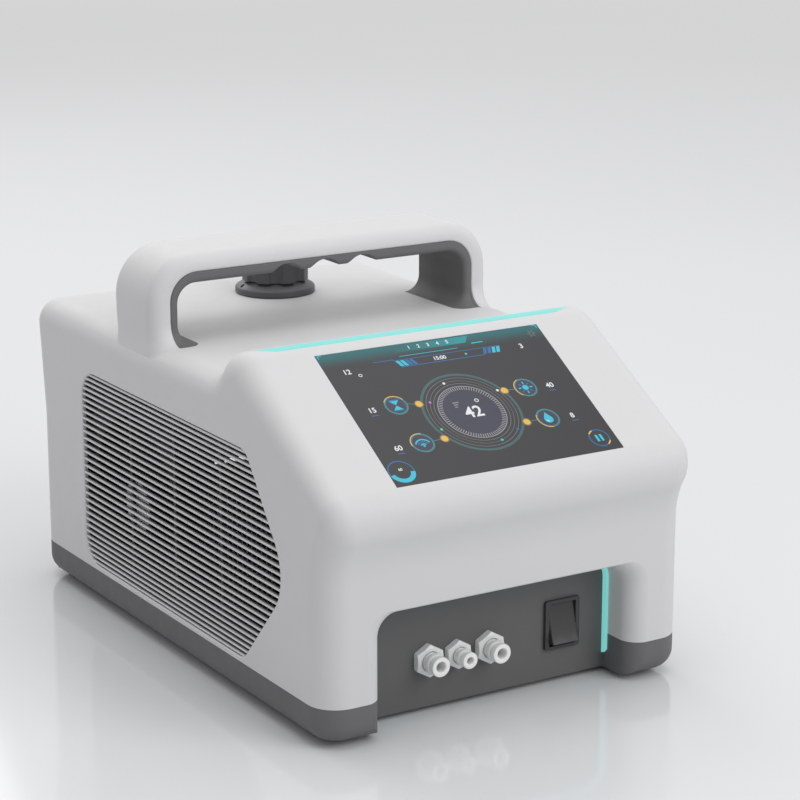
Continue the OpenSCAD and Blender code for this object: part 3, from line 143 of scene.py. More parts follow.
class Shader:
    """The node tree of a material or of the world, and the ways to add to it."""

    def __init__(self, name: str, world: bpy.types.World | None = None) -> None:
        """Makes a material with its Principled shader, or takes the world's tree.

        Args:
            name: the material's name.
            world: the world whose tree is taken instead.
        """
        if world is not None:
            self.tree = world.node_tree
            return
        self.material = bpy.data.materials.new(name)
        self.material.use_nodes = True
        self.tree = self.material.node_tree
        self.principled = self.tree.nodes["Principled BSDF"]

    def node(
        self,
        kind: str,
        settings: dict[str, object] | None = None,
        inputs: dict[int | str, object] | None = None,
        output: int | str = 0,
    ) -> Sock:
        """Adds a node.

        Args:
            kind: the node's type.
            settings: its settings, which are set before its inputs.
            inputs: the values or links of its sockets.
            output: the output that is wanted.

        Returns:
            The wrapped output.
        """
        node = self.tree.nodes.new(kind)
        for key, value in (settings or {}).items():
            setattr(node, key, value)
        for key, value in (inputs or {}).items():
            if isinstance(value, Sock):
                self.tree.links.new(value.socket, node.inputs[key])
            else:
                node.inputs[key].default_value = value
        return Sock(self, node.outputs[output])

    def feed(self, name: str, value: "Sock | float | Sequence[float]") -> None:
        """Sets or links one input of the Principled shader.

        Args:
            name: the input's name.
            value: a socket to link or a value to set.
        """
        if isinstance(value, Sock):
            self.tree.links.new(value.socket, self.principled.inputs[name])
        else:
            self.principled.inputs[name].default_value = value

    def place(self) -> Sock:
        """Returns the object coordinates, in metres."""
        return self.node("ShaderNodeTexCoord", output="Object")

    def axes(self, place: Sock) -> list[Sock]:
        """Returns the three coordinates of a place."""
        split = self.node("ShaderNodeSeparateXYZ", inputs={0: place})
        return [Sock(self, out) for out in split.socket.node.outputs]

    def noise(self, place: Sock, size: float, detail: float = 2.0, stretch: Point = (1, 1, 1)) -> Sock:
        """Returns noise whose features are about size millimetres across.

        Args:
            place: the coordinates that it follows.
            size: how large its features are, in millimetres.
            detail: how much finer detail it has.
            stretch: its scale along each axis.

        Returns:
            The noise, from 0 to 1.
        """
        if tuple(stretch) != (1, 1, 1):
            place = self.node("ShaderNodeMapping", inputs={"Vector": place, "Scale": stretch})
        return self.node(
            "ShaderNodeTexNoise", inputs={"Vector": place, "Scale": 1 / (size * MM), "Detail": detail}
        )

    def mix(self, factor: "Sock | float", first: object, second: object) -> Sock:
        """Returns a colour between first and second.

        Args:
            factor: the share of the second colour.
            first: the colour at 0.
            second: the colour at 1.

        Returns:
            The mixed colour.
        """
        return self.node(
            "ShaderNodeMix", {"data_type": "RGBA"}, {0: factor, 6: first, 7: second}, output=2
        )

    def bump(self, height: Sock, depth: float, strength: float = 1.0, under: Sock | None = None) -> Sock:
        """Returns a normal bent by a height of depth millimetres.

        Args:
            height: the height, from 0 to 1.
            depth: what a height of 1 is, in millimetres.
            strength: how much of it shows.
            under: the normal that it bends, if it isn't the surface's own.

        Returns:
            The bent normal.
        """
        inputs: dict[int | str, object] = {"Height": height, "Distance": depth * MM, "Strength": strength}
        if under is not None:
            inputs["Normal"] = under
        return self.node("ShaderNodeBump", inputs=inputs)


def linear(red: float, green: float, blue: float) -> tuple[float, float, float, float]:
    """Returns the linear colour of one written with 0 to 255 for each part."""
    parts = [c / 255 for c in (red, green, blue)]
    return (*[p / 12.92 if p <= 0.04045 else ((p + 0.055) / 1.055) ** 2.4 for p in parts], 1.0)


def shaded(colour: Point, share: float) -> tuple[float, float, float, float]:
    """Returns a linear colour made lighter or darker."""
    return (*[min(1.0, c * share) for c in colour[:3]], 1.0)


# ---------------------------------------------------------------- finishes


@dataclass(frozen=True)
class Plastic:
    """Moulded plastic with a spark-eroded grain, darkened by painted shade where a mask is given."""

    name: str
    colour: tuple[float, float, float]
    roughness: float = 0.5
    specular: float = 0.4
    grain: float = 0.6
    depth: float = 0.02
    mottle: float = 0.03
    # a mask of painted shade: where it is 1 the colour is darkened nearly to black
    painted_shade: Callable[[Shader, Sock], Sock] | None = None

    def material(self) -> bpy.types.Material:
        """Returns the finish as a material, darkened nearly to black by painted shade where its shade mask is
        1.

        Returns:
            The material.
        """
        s = Shader(self.name)
        base = linear(*self.colour)
        place = s.place()
        broad = s.noise(place, 60, 3)
        fine = s.noise(place, self.grain, 2)
        tone = s.mix(broad, shaded(base, 1 - self.mottle), shaded(base, 1 + self.mottle))
        # painted shade: the colour falls to 3 % of its own in the machine's hollow and behind the slats'
        # front edges
        if self.painted_shade is not None:
            tone = s.mix(self.painted_shade(s, place), tone, shaded(base, 0.03))
        s.feed("Base Color", tone)
        s.feed("Roughness", s.noise(place, 9, 3).ramp(0.3, 0.7, self.roughness - 0.05, self.roughness + 0.05))
        s.feed("Normal", s.bump(fine, self.depth, 0.6))
        s.feed("Specular IOR Level", self.specular)
        return s.material


@dataclass(frozen=True)
class Metal:
    """Sheet or cast metal with a drawn grain along one axis."""

    name: str
    colour: tuple[float, float, float]
    roughness: float = 0.4
    drawn: tuple[float, float, float] = (0.06, 1, 1)
    metallic: float = 1.0

    def material(self) -> bpy.types.Material:
        """Returns the finish as a material.

        Returns:
            The material.
        """
        s = Shader(self.name)
        base = linear(*self.colour)
        place = s.place()
        lines = s.noise(place, 0.5, 3, self.drawn)
        s.feed("Base Color", s.mix(lines, shaded(base, 0.86), shaded(base, 1.06)))
        s.feed("Metallic", self.metallic)
        s.feed("Roughness", lines.ramp(0.3, 0.7, self.roughness - 0.08, self.roughness + 0.1))
        s.feed("Normal", s.bump(lines, 0.01, 0.5))
        return s.material


@dataclass(frozen=True)
class Lamp:
    """A light guide: pale plastic that glows evenly."""

    name: str
    colour: tuple[float, float, float]
    strength: float = 1.0

    def material(self) -> bpy.types.Material:
        """Returns the finish as a material.

        Returns:
            The material.
        """
        s = Shader(self.name)
        glow = linear(*self.colour)
        drift = s.noise(s.place(), 25, 2)
        s.feed("Base Color", s.mix(drift, shaded(glow, 0.30), shaded(glow, 0.34)))
        s.feed("Emission Color", s.mix(drift, shaded(glow, 0.97), shaded(glow, 1.03)))
        s.feed("Emission Strength", self.strength)
        s.feed("Roughness", 0.45)
        s.feed("Specular IOR Level", 0.2)
        return s.material


@dataclass(frozen=True)
class Ink:
    """One lit colour of the screen's picture, under the same gloss as the glass."""

    name: str
    colour: tuple[float, float, float]
    fade: tuple[float, float, float] | None = None
    span: tuple[float, float] = (-60.0, 60.0)

    def material(self) -> bpy.types.Material:
        """Returns the finish as a material; fade is the colour at the span's upper end, along X.

        Returns:
            The material.
        """
        s = Shader(self.name)
        lit = linear(*self.colour)
        place = s.place()
        if self.fade is None:
            drift = s.noise(place, 4, 2)
            s.feed("Emission Color", s.mix(drift, shaded(lit, 0.9), shaded(lit, 1.1)))
        else:
            across = s.axes(place)[0].ramp(self.span[0] * MM, self.span[1] * MM)
            s.feed("Emission Color", s.mix(across, lit, linear(*self.fade)))
        s.feed("Base Color", (0.01, 0.01, 0.012, 1))
        s.feed("Emission Strength", 0.92)
        s.feed("Roughness", 0.28)
        s.feed("Specular IOR Level", 0.24)
        return s.material


def painted_inner_shade(s: Shader, place: Sock) -> Sock:
    """Returns 1 on the housing's inner faces, deep inside its skin and under its slope, where painted shade
    darkens the plastic nearly to black.

    Args:
        s: the shader that it is added to.
        place: the object coordinates, in metres.

    Returns:
        1 inside and 0 elsewhere.
    """
    x, y, z = s.axes(place)
    half_w, front, rear, top, off_slope = (c * MM for c in (122.2, -152.0, 172.0, 174.5, 210.5))
    turn = math.radians(FORM.slope)
    # painted shade fills the box inside the skin; the slope's plane cuts it off under the display
    within = (x.magnitude() < half_w) * (y > front) * (y < rear) * (z < top)
    return within * ((z * math.cos(turn) - y * math.sin(turn)) < off_slope)


def slat_painted_shade(s: Shader, place: Sock) -> Sock:
    """Returns painted shade on the slats: 0 at their front edge, rising to 1 at their back, where they are
    darkened nearly to black.
    """
    front, back = 124.6, 121.7
    return s.axes(place)[0].magnitude().ramp(front * MM, back * MM)


class Finish(Enum):
    """The machine's finishes."""

    # HOUSING and SLAT carry painted shade: the housing's inner faces and the backs of the slats are darkened
    # nearly to black.
    HOUSING = Plastic("housing_plastic", (214, 214, 215), 0.55, 0.35, 0.7, 0.02, 0.012, painted_inner_shade)
    SLAT = Plastic("slat_plastic", (214, 214, 215), 0.55, 0.35, 0.7, 0.02, 0.012, slat_painted_shade)
    TRAY = Plastic("tray_plastic", (108, 108, 109), 0.6, 0.3, 0.6, 0.03, 0.03)
    LINER = Plastic("liner_rubber", (108, 108, 109), 0.62, 0.3, 0.5, 0.03, 0.03)
    PANEL = Plastic("panel_plastic", (98, 98, 98), 0.5, 0.35, 0.5, 0.02, 0.03)
    CAP = Plastic("cap_plastic", (84, 85, 87), 0.42, 0.5, 0.5, 0.02, 0.03)
    SWITCH = Plastic("switch_plastic", (58, 58, 59), 0.42, 0.4, 0.5, 0.02, 0.02)
    FITTING = Plastic("fitting_plastic", (236, 236, 235), 0.4, 0.45, 0.6, 0.015, 0.02)
    COLLAR = Plastic("collar_plastic", (244, 244, 243), 0.35, 0.45, 0.6, 0.015, 0.02)
    RUBBER = Plastic("foot_rubber", (38, 38, 39), 0.75, 0.2, 0.4, 0.03, 0.04)
    FAN = Plastic("fan_plastic", (24, 24, 25), 0.5, 0.25, 0.5, 0.02, 0.03)
    HUB = Plastic("hub_label_plastic", (205, 206, 208), 0.45, 0.35, 0.5, 0.02, 0.03)
    PUMP = Plastic("pump_plastic", (52, 52, 55), 0.5, 0.35, 0.5, 0.02, 0.03)
    TANK = Plastic("tank_plastic", (214, 222, 226), 0.3, 0.4, 0.8, 0.02, 0.03)
    HOSE = Plastic("hose_silicone", (222, 224, 224), 0.35, 0.4, 0.8, 0.01, 0.03)
    BOARD = Plastic("board_lacquer", (24, 96, 60), 0.35, 0.5, 0.5, 0.01, 0.06)
    CERAMIC = Plastic("module_ceramic", (235, 234, 228), 0.6, 0.3, 0.3, 0.01, 0.02)
    STEEL = Metal("plated_steel", (176, 178, 181), 0.38)
    ALUMINIUM = Metal("black_anodised_aluminium", (96, 97, 99), 0.42, (1, 1, 0.06))
    LIGHT = Lamp("strip_light", (142, 231, 226), 0.6)

    def build(self) -> bpy.types.Material:
        """Returns the finish's material, made once."""
        return bpy.data.materials.get(self.value.name) or self.value.material()


# ---------------------------------------------------------------- modelling bench


class Axis(Enum):
    """An axis of the drawing."""

    X = 0
    Y = 1
    Z = 2

    def unit(self) -> tuple[float, ...]:
        """Returns the axis as a vector."""
        return tuple(float(i == self.value) for i in range(3))


class Join(Enum):
    """What becomes of two solids."""

    UNION = "UNION"
    DIFFERENCE = "DIFFERENCE"
    INTERSECT = "INTERSECT"


def in_metres(change: Matrix) -> Matrix:
    """Returns a change that was drawn in millimetres as one of metres."""
    return Matrix.Scale(MM, 4) @ change @ Matrix.Scale(1 / MM, 4)


class Bench:
    """Where pieces are modelled: adds primitives, runs operators and applies modifiers."""

    @staticmethod
    def clear() -> None:
        """Leaves edit mode and deselects everything."""
        if bpy.context.object is not None and bpy.context.object.mode != "OBJECT":
            bpy.ops.object.mode_set(mode="OBJECT")
        bpy.ops.object.select_all(action="DESELECT")

    @classmethod
    def hold(cls, piece: Piece) -> Piece:
        """Selects one piece alone and makes it active.

        Args:
            piece: the piece.

        Returns:
            The same piece.
        """
        cls.clear()
        piece.select_set(True)
        bpy.context.view_layer.objects.active = piece
        return piece

    @classmethod
    def settle(cls, piece: Piece, name: str) -> Piece:
        """Names a piece and moves its place into its mesh.

        Args:
            piece: the piece.
            name: its name and its mesh's name.

        Returns:
            The same piece.
        """
        cls.hold(piece)
        bpy.ops.object.transform_apply(location=True, rotation=True, scale=True)
        piece.name = piece.data.name = name
        return piece

    @classmethod
    def points(cls, name: str, points: Sequence[Point], faces: Sequence[Sequence[int]]) -> Piece:
        """Makes a mesh from points in millimetres and its faces.

        Args:
            name: the piece's name.
            points: its points, in millimetres.
            faces: each face's points, by their numbers.

        Returns:
            The piece.
        """
        mesh = bpy.data.meshes.new(name)
        mesh.from_pydata([[c * MM for c in p] for p in points], [], [list(f) for f in faces])
        piece = bpy.data.objects.new(name, mesh)
        bpy.context.scene.collection.objects.link(piece)
        return cls.outward(piece)

    @classmethod
    def outward(cls, piece: Piece) -> Piece:
        """Merges doubles and turns all faces outwards.

        Args:
            piece: the piece.

        Returns:
            The same piece.
        """
        cls.hold(piece)
        bpy.ops.object.mode_set(mode="EDIT")
        bpy.ops.mesh.select_all(action="SELECT")
        bpy.ops.mesh.remove_doubles(threshold=MERGED)
        bpy.ops.mesh.normals_make_consistent(inside=False)
        bpy.ops.object.mode_set(mode="OBJECT")
        return piece

    @classmethod
    def loft(cls, name: str, rings: Sequence[Sequence[Point]]) -> Piece:
        """Makes a closed skin over rings with equal counts of points, capped at both ends.

        Args:
            name: the piece's name.
            rings: the rings, from one end to the other.

        Returns:
            The piece.
        """
        count = len(rings[0])
        faces = [
            [i * count + j, i * count + k, (i + 1) * count + k, (i + 1) * count + j]
            for i in range(len(rings) - 1)
            for j, k in zip(range(count), [*range(1, count), 0])
        ]
        faces.append(list(range(count)))
        faces.append(list(range((len(rings) - 1) * count, len(rings) * count)))
        return cls.points(name, [p for ring in rings for p in ring], faces)

    @classmethod
    def prism(cls, name: str, outline: Sequence[Point], axis: Axis, low: float, high: float) -> Piece:
        """Extrudes a flat outline along an axis, from low to high.

        Args:
            name: the piece's name.
            outline: its outline, in the two other axes.
            axis: the axis that it stands on.
            low: where it starts.
            high: where it ends.

        Returns:
            The piece.
        """
        spots = [[*p[:axis.value], low, *p[axis.value:]] for p in outline]
        piece = cls.points(name, spots, [range(len(outline))])
        cls.hold(piece)
        bpy.ops.object.mode_set(mode="EDIT")
        bpy.ops.mesh.select_all(action="SELECT")
        step = [(high - low) * MM * u for u in axis.unit()]
        bpy.ops.mesh.extrude_region_move(TRANSFORM_OT_translate={"value": step})
        return cls.outward(piece)

    @classmethod
    def turned(cls, name: str, profile: Sequence[Point], axis: Axis, centre: Point, steps: int = 64) -> Piece:
        """Spins a profile of (radius, height) points round an axis through centre.

        Args:
            name: the piece's name.
            profile: its points of (radius, height).
            axis: the axis that it is spun round.
            centre: a point on that axis, where the height is 0.
            steps: how many steps the turn has.

        Returns:
            The piece.
        """
        along = axis.unit()
        out = (Axis.Y if axis is Axis.X else Axis.X).unit()
        spots = [[c + r * o + h * a for c, o, a in zip(centre, out, along)] for r, h in profile]
        wires = [(i, i + 1) for i in range(len(spots) - 1)]
        mesh = bpy.data.meshes.new(name)
        mesh.from_pydata([[c * MM for c in p] for p in spots], wires, [])
        piece = bpy.data.objects.new(name, mesh)
        bpy.context.scene.collection.objects.link(piece)
        cls.hold(piece)
        bpy.ops.object.mode_set(mode="EDIT")
        bpy.ops.mesh.select_all(action="SELECT")
        bpy.ops.mesh.spin(steps=steps, angle=2 * math.pi, center=[c * MM for c in centre], axis=along)
        return cls.outward(piece)

    @classmethod
    def rod(
        cls, name: str, radius: float, low: float, high: float, axis: Axis, centre: Point, steps: int = 64
    ) -> Piece:
        """Makes a round rod along an axis."""
        return cls.turned(name, [(0, low), (radius, low), (radius, high), (0, high)], axis, centre, steps)

    @classmethod
    def slab(
        cls, name: str, low: Point, high: Point, corner: float = 0.0, axis: Axis = Axis.Z, edge: float = 0.0,
        cuts: int = 5,
    ) -> Piece:
        """Makes a block: its edges along axis are rounded by corner, then the rest by edge.

        Args:
            name: the piece's name.
            low: its lowest corner.
            high: its highest corner.
            corner: the radius of the edges along axis.
            axis: the axis of those edges.
            edge: the width of the other edges' rounding.
            cuts: how many steps a corner has.

        Returns:
            The piece.
        """
        cls.clear()
        middle = [(a + b) / 2 * MM for a, b in zip(low, high)]
        bpy.ops.mesh.primitive_cube_add(size=1, location=middle)
        piece = bpy.context.object
        piece.scale = [(b - a) * MM for a, b in zip(low, high)]
        cls.settle(piece, name)
        if corner:
            cls.round_edges(piece, lambda a, b: abs((a - b)[axis.value]) > NEAR, corner, cuts)
        if edge:
            cls.bevel(piece, edge, 2)
        return piece

    @classmethod
    def round_edges(
        cls, piece: Piece, test: Callable[[Vector, Vector], bool], radius: float, cuts: int
    ) -> None:
        """Rounds the edges whose two ends pass a test.

        Args:
            piece: the piece.
            test: what the two ends of an edge have to pass, in metres.
            radius: the radius, in millimetres.
            cuts: how many steps the rounding has.
        """
        cls.hold(piece)
        bpy.ops.object.mode_set(mode="EDIT")
        bpy.ops.mesh.select_mode(type="EDGE")
        bpy.ops.mesh.select_all(action="DESELECT")
        bpy.ops.object.mode_set(mode="OBJECT")
        mesh = piece.data
        for one in mesh.edges:
            one.select = test(*[mesh.vertices[v].co for v in one.vertices])
        bpy.ops.object.mode_set(mode="EDIT")
        bpy.ops.mesh.bevel(offset=radius * MM, segments=cuts, affect="EDGES", clamp_overlap=True)
        bpy.ops.object.mode_set(mode="OBJECT")

    @classmethod
    def modify(cls, piece: Piece, kind: str, **settings: object) -> Piece:
        """Adds a modifier, sets it and applies it.

        Args:
            piece: the piece.
            kind: the modifier's type.
            settings: the modifier's settings.

        Returns:
            The same piece.
        """
        cls.hold(piece)
        bpy.ops.object.modifier_add(type=kind)
        modifier = piece.modifiers[-1]
        for key, value in settings.items():
            setattr(modifier, key, value)
        bpy.ops.object.modifier_apply(modifier=modifier.name)
        return piece

    @classmethod
    def bevel(cls, piece: Piece, width: float, cuts: int = 2, angle: float = 40.0) -> Piece:
        """Rounds the sharp edges of a piece.

        Args:
            piece: the piece.
            width: the width, in millimetres.
            cuts: how many steps the rounding has.
            angle: the least angle of an edge that counts as sharp, in degrees.

        Returns:
            The same piece.
        """
        return cls.modify(
            piece, "BEVEL", width=width * MM, segments=cuts, limit_method="ANGLE",
            angle_limit=math.radians(angle), use_clamp_overlap=True,
        )

    @classmethod
    def combine(cls, piece: Piece, other: Piece, how: Join) -> Piece:
        """Joins a solid to a piece, cuts it out or keeps what they share, and removes it.

        Args:
            piece: the piece that stays.
            other: the solid that is used up.
            how: what becomes of the two.

        Returns:
            The piece that stays.
        """
        cls.modify(piece, "BOOLEAN", operation=how.value, solver="EXACT", object=other)
        mesh = other.data
        bpy.data.objects.remove(other)
        bpy.data.meshes.remove(mesh)
        return piece

    @classmethod
    def cut(cls, piece: Piece, *cutters: Piece) -> Piece:
        """Cuts solids out of a piece.

        Args:
            piece: the piece.
            cutters: the solids, which are used up.

        Returns:
            The same piece.
        """
        for cutter in cutters:
            cls.combine(piece, cutter, Join.DIFFERENCE)
        return piece

    @classmethod
    def weld(cls, name: str, pieces: Sequence[Piece]) -> Piece:
        """Puts several pieces into one object, as they are.

        Args:
            name: the object's name.
            pieces: the pieces, the first of which stays.

        Returns:
            The object.
        """
        cls.clear()
        for one in pieces:
            one.select_set(True)
        bpy.context.view_layer.objects.active = pieces[0]
        if len(pieces) > 1:
            bpy.ops.object.join()
        pieces[0].name = pieces[0].data.name = name
        return pieces[0]

    @classmethod
    def copy(cls, piece: Piece, name: str, change: Matrix) -> Piece:
        """Copies a piece with its own mesh, changed by a matrix in millimetres.

        Args:
            piece: the piece, which stays as it is.
            name: the copy's name.
            change: the matrix.

        Returns:
            The copy.
        """
        twin = piece.copy()
        twin.data = piece.data.copy()
        bpy.context.scene.collection.objects.link(twin)
        twin.data.transform(in_metres(change))
        twin.name = twin.data.name = name
        if change.determinant() < 0:
            twin.data.flip_normals()
        return twin

    @classmethod
    def smooth(cls, piece: Piece, angle: float = 35.0) -> Piece:
        """Shades a piece smoothly up to an angle, with flat faces kept flat.

        Args:
            piece: the piece.
            angle: the least angle of an edge that stays sharp, in degrees.

        Returns:
            The same piece.
        """
        cls.hold(piece)
        bpy.ops.object.shade_smooth_by_angle(angle=math.radians(angle))
        return cls.modify(piece, "WEIGHTED_NORMAL", keep_sharp=True, weight=60)

    @classmethod
    def finish(
        cls, piece: Piece, finish: Finish | bpy.types.Material, body: str, slot: str,
        nodes: Sequence[str] = (), angle: float = 35.0,
    ) -> Piece:
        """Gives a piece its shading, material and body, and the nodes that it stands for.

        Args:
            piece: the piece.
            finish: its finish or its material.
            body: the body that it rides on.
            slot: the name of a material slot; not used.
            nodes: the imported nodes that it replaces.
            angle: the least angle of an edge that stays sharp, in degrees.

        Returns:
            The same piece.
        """
        cls.smooth(piece, angle)
        piece.data.transform(Matrix.Translation((0, -DRAWN_BACK * MM, 0)))
        piece.data.materials.clear()
        piece.data.materials.append(finish.build() if isinstance(finish, Finish) else finish)
        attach(piece, body)
        if nodes:
            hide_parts(*nodes)
        LOG.info("%s: %d faces, rides on %s", piece.name, len(piece.data.polygons), body)
        return piece


# ---------------------------------------------------------------- outlines


def arc(centre: Point, radius: float, start: float, end: float, cuts: int) -> Outline:
    """Returns points on an arc, with angles in degrees."""
    steps = [math.radians(start + (end - start) * i / cuts) for i in range(cuts + 1)]
    return [(centre[0] + radius * math.cos(a), centre[1] + radius * math.sin(a)) for a in steps]


def rounded(corners: Sequence[Point], cuts: int = 10) -> Outline:
    """Returns a polygon whose corners, each (x, y, radius), are rounded.

    Args:
        corners: the corners, in order.
        cuts: how many steps a corner has.

    Returns:
        The polygon's points.
    """
    outline: Outline = []
    for i, corner in enumerate(corners):
        spot = Vector(corner[:2])
        before = (Vector(corners[i - 1][:2]) - spot).normalized()
        after = (Vector(corners[(i + 1) % len(corners)][:2]) - spot).normalized()
        half = before.angle(after) / 2
        centre = spot + (before + after).normalized() * corner[2] / math.sin(half)
        first = spot + before * corner[2] / math.tan(half) - centre
        last = spot + after * corner[2] / math.tan(half) - centre
        turn = math.pi - 2 * half
        for k in range(cuts + 1):
            t = k / cuts
            point = centre + (first * math.sin(turn * (1 - t)) + last * math.sin(turn * t)) / math.sin(turn)
            outline.append((point.x, point.y))
    return outline


@dataclass
class Form:
    """The machine's main outline, shared by its sub-assemblies."""

    half_w: float = 125.0
    nose_y: float = -193.0
    rear_y: float = 199.0
    wall_y: float = -184.3
    panel_y: float = -156.6
    top_h: float = 189.0
    seam_h: float = 25.0
    foot_h: float = 3.0
    wall: float = 3.0
    front_r: float = 18.0
    rear_r: float = 22.0
    top_r: float = 14.0
    rear_top_r: float = 16.0
    slope: float = 31.3
    crest: tuple[float, float] = (-79.55, 185.5)
    crest_r: float = 22.0
    dip_r: float = 20.0
    nose_r: float = 21.5
    under_r: float = 44.0
    crest_edge: float = 15.5
    slope_edge: float = 12.5
    nose_edge: float = 17.8
    glass: tuple[float, float] = (154.0, 106.0)
    glass_drop: float = 55.0
    arch_w: float = 85.4
    arch_h: float = 74.6
    arch_r: float = 14.0
    flare: float = 12.0
    lip: float = 3.0

    def slope_place(self) -> Matrix:
        """Returns the place of the glass: its middle, with X across and Y up the slope.

        Returns:
            The matrix, in millimetres.
        """
        turn = math.radians(self.slope)
        out = Vector((0, -math.sin(turn), math.cos(turn)))
        up = Vector((0, math.cos(turn), math.sin(turn)))
        spot = Vector((0, *self.crest)) + out * self.crest_r - up * self.glass_drop
        return Matrix.Translation(spot) @ Matrix.Rotation(turn, 4, "X")

    def side_outline(self, low: float, cuts: int = 12) -> Ring:
        """Returns the side outline from the rear foot to the front foot.

        Args:
            low: the height at which it starts and ends.
            cuts: how many steps an arc has.

        Returns:
            Points of (y, z, outward y, outward z, radius of the long edge there).
        """
        nose_c = self.nose_y + self.nose_r
        turn = math.radians(self.slope)
        nose_z = self.crest[1] + (
            self.crest_r - self.nose_r + (nose_c - self.crest[0]) * math.sin(turn)
        ) / math.cos(turn)
        under_c = self.wall_y - self.under_r
        under_dz = math.sqrt((self.nose_r + self.under_r) ** 2 - (nose_c - under_c) ** 2)
        under_a = math.degrees(math.atan2(under_dz, nose_c - under_c))
        dip_rise = self.top_h + self.dip_r - self.crest[1]
        dip_a = math.degrees(math.asin(dip_rise / (self.crest_r + self.dip_r)))
        dip_c = self.crest[0] + (self.crest_r + self.dip_r) * math.cos(math.radians(dip_a))

        def run(
            c: Point, r: float, a0: float, a1: float, e0: float, e1: float, sign: int, skip: int = 0
        ) -> Iterator[tuple[float, ...]]:
            """Yields an arc of the outline.

            Args:
                c: the arc's centre.
                r: its radius.
                a0: its first angle, in degrees.
                a1: its last angle, in degrees.
                e0: the long edge's radius at its start.
                e1: that radius at its end.
                sign: 1 where the arc bulges out of the body and -1 where it bulges in.
                skip: how many of its first points are left out.

            Yields:
                Points as the outline has them.
            """
            for i in range(skip, cuts + 1):
                a = math.radians(a0 + (a1 - a0) * i / cuts)
                yield (
                    c[0] + r * math.cos(a), c[1] + r * math.sin(a), sign * math.cos(a),
                    sign * math.sin(a), e0 + (e1 - e0) * i / cuts,
                )

        return [
            (self.rear_y, low, 1.0, 0.0, self.rear_r),
            (self.rear_y, self.top_h * 0.6, 1.0, 0.0, self.rear_r),
            *run((self.rear_y - self.rear_top_r, self.top_h - self.rear_top_r), self.rear_top_r, 0, 90,
                 self.top_r, self.top_r, 1),
            *run((dip_c, self.top_h + self.dip_r), self.dip_r, 270, 180 + dip_a,
                 self.top_r, self.crest_edge, -1),
            *run(self.crest, self.crest_r, dip_a, 90 + self.slope, self.crest_edge, self.crest_edge, 1, 1),
            *run((nose_c, nose_z), self.nose_r, 90 + self.slope, 180 + under_a,
                 self.slope_edge, self.nose_edge, 1),
            *run((under_c, nose_z - under_dz), self.under_r, under_a, 0, self.nose_edge, self.front_r, -1, 1),
            (self.wall_y, low, -1.0, 0.0, self.front_r),
        ]

    def body_rings(self, low: float, inset: float, cuts: int = 10) -> list[Ring]:
        """Returns the housing's rings from its right side to its left, drawn in by inset.

        Args:
            low: the height at which the rings start and end.
            inset: how far they are drawn in.
            cuts: how many steps a long edge has.

        Returns:
            The rings.
        """
        outline = self.side_outline(low)

        def station(side: int, turn: float) -> Ring:
            """Returns one ring.

            Args:
                side: 1 on the right and -1 on the left.
                turn: how far round the long edge it lies, in radians.

            Returns:
                The ring.
            """
            ring = []
            for y, z, ny, nz, edge in outline:
                e = edge - inset
                d = inset + e * (1 - math.cos(turn))
                ring.append((side * (self.half_w - inset - e + e * math.sin(turn)), y - d * ny, z - d * nz))
            return ring

        turns = [math.radians(90 * i / cuts) for i in range(cuts + 1)]
        return [station(1, t) for t in reversed(turns)] + [station(-1, t) for t in turns]

    def arch_ring(self, y: float, side: float, top: float, low: float, cuts: int = 12) -> Ring:
        """Returns the arch's outline at a depth y, grown by side and top.

        Args:
            y: the depth.
            side: how much wider each side is.
            top: how much higher it is.
            low: the height at which it starts and ends.
            cuts: how many steps a corner has.

        Returns:
            The ring.
        """
        hw, high, r = self.arch_w + side, self.arch_h + top, self.arch_r
        flat = [
            (-hw, low), *arc((-hw + r, high - r), r, 180, 90, cuts), *arc((hw - r, high - r), r, 90, 0, cuts),
            (hw, low),
        ]
        return [(x, y, z) for x, z in flat]

    def arch_space(self, name: str, grow: float, back: float, low: float = -10.0) -> Piece:
        """Makes the arch's space: straight at the panel, flared by a quarter circle at the front.

        Args:
            name: the piece's name.
            grow: how far it is grown all round.
            back: the depth at which it ends.
            low: the height at which it starts.

        Returns:
            The piece.
        """
        rings = [self.arch_ring(back, grow, grow, low)]
        last, past = math.radians(84.0), 30.0
        for i in range(13):
            a = last * i / 12
            y, out = self.wall_y + self.flare * (1 - math.sin(a)), 1 - math.cos(a)
            rings.append(self.arch_ring(y, grow + self.flare * out, grow + self.lip * out, low))
        side = grow + self.flare * out + past * math.sin(last)
        rings.append(self.arch_ring(y - past * math.cos(last), side, grow + self.lip * out + 1, low))
        return Bench.loft(name, rings)

    def arch_plan(self, grow: float, cuts: int = 12) -> Outline:
        """Returns the plan of the arch's space between the feet, with its flares.

        Args:
            grow: how far it is grown.
            cuts: how many steps a flare has.

        Returns:
            The plan, in (x, y).
        """
        hw, r, y = self.arch_w + grow, self.flare, self.wall_y
        right = [(hw, self.panel_y + 1), *arc((hw + r, y + r), r, 180, 270, cuts), (hw + r, y - 5)]
        return right + [(-x, z) for x, z in reversed(right)]

    def plan(self, inset: float, cuts: int = 12) -> Outline:
        """Returns the plan of the foot, drawn in by inset.

        Args:
            inset: how far it is drawn in.
            cuts: how many steps a corner has.

        Returns:
            The plan, in (x, y).
        """
        f, r, x = self.front_r - inset, self.rear_r - inset, self.half_w - inset
        y0, y1 = self.wall_y + inset, self.rear_y - inset
        return [
            *arc((x - f, y0 + f), f, -90, 0, cuts), *arc((x - r, y1 - r), r, 0, 90, cuts),
            *arc((-x + r, y1 - r), r, 90, 180, cuts), *arc((-x + f, y0 + f), f, 180, 270, cuts),
        ]


FORM = Form()


# ---------------------------------------------------------------- housing


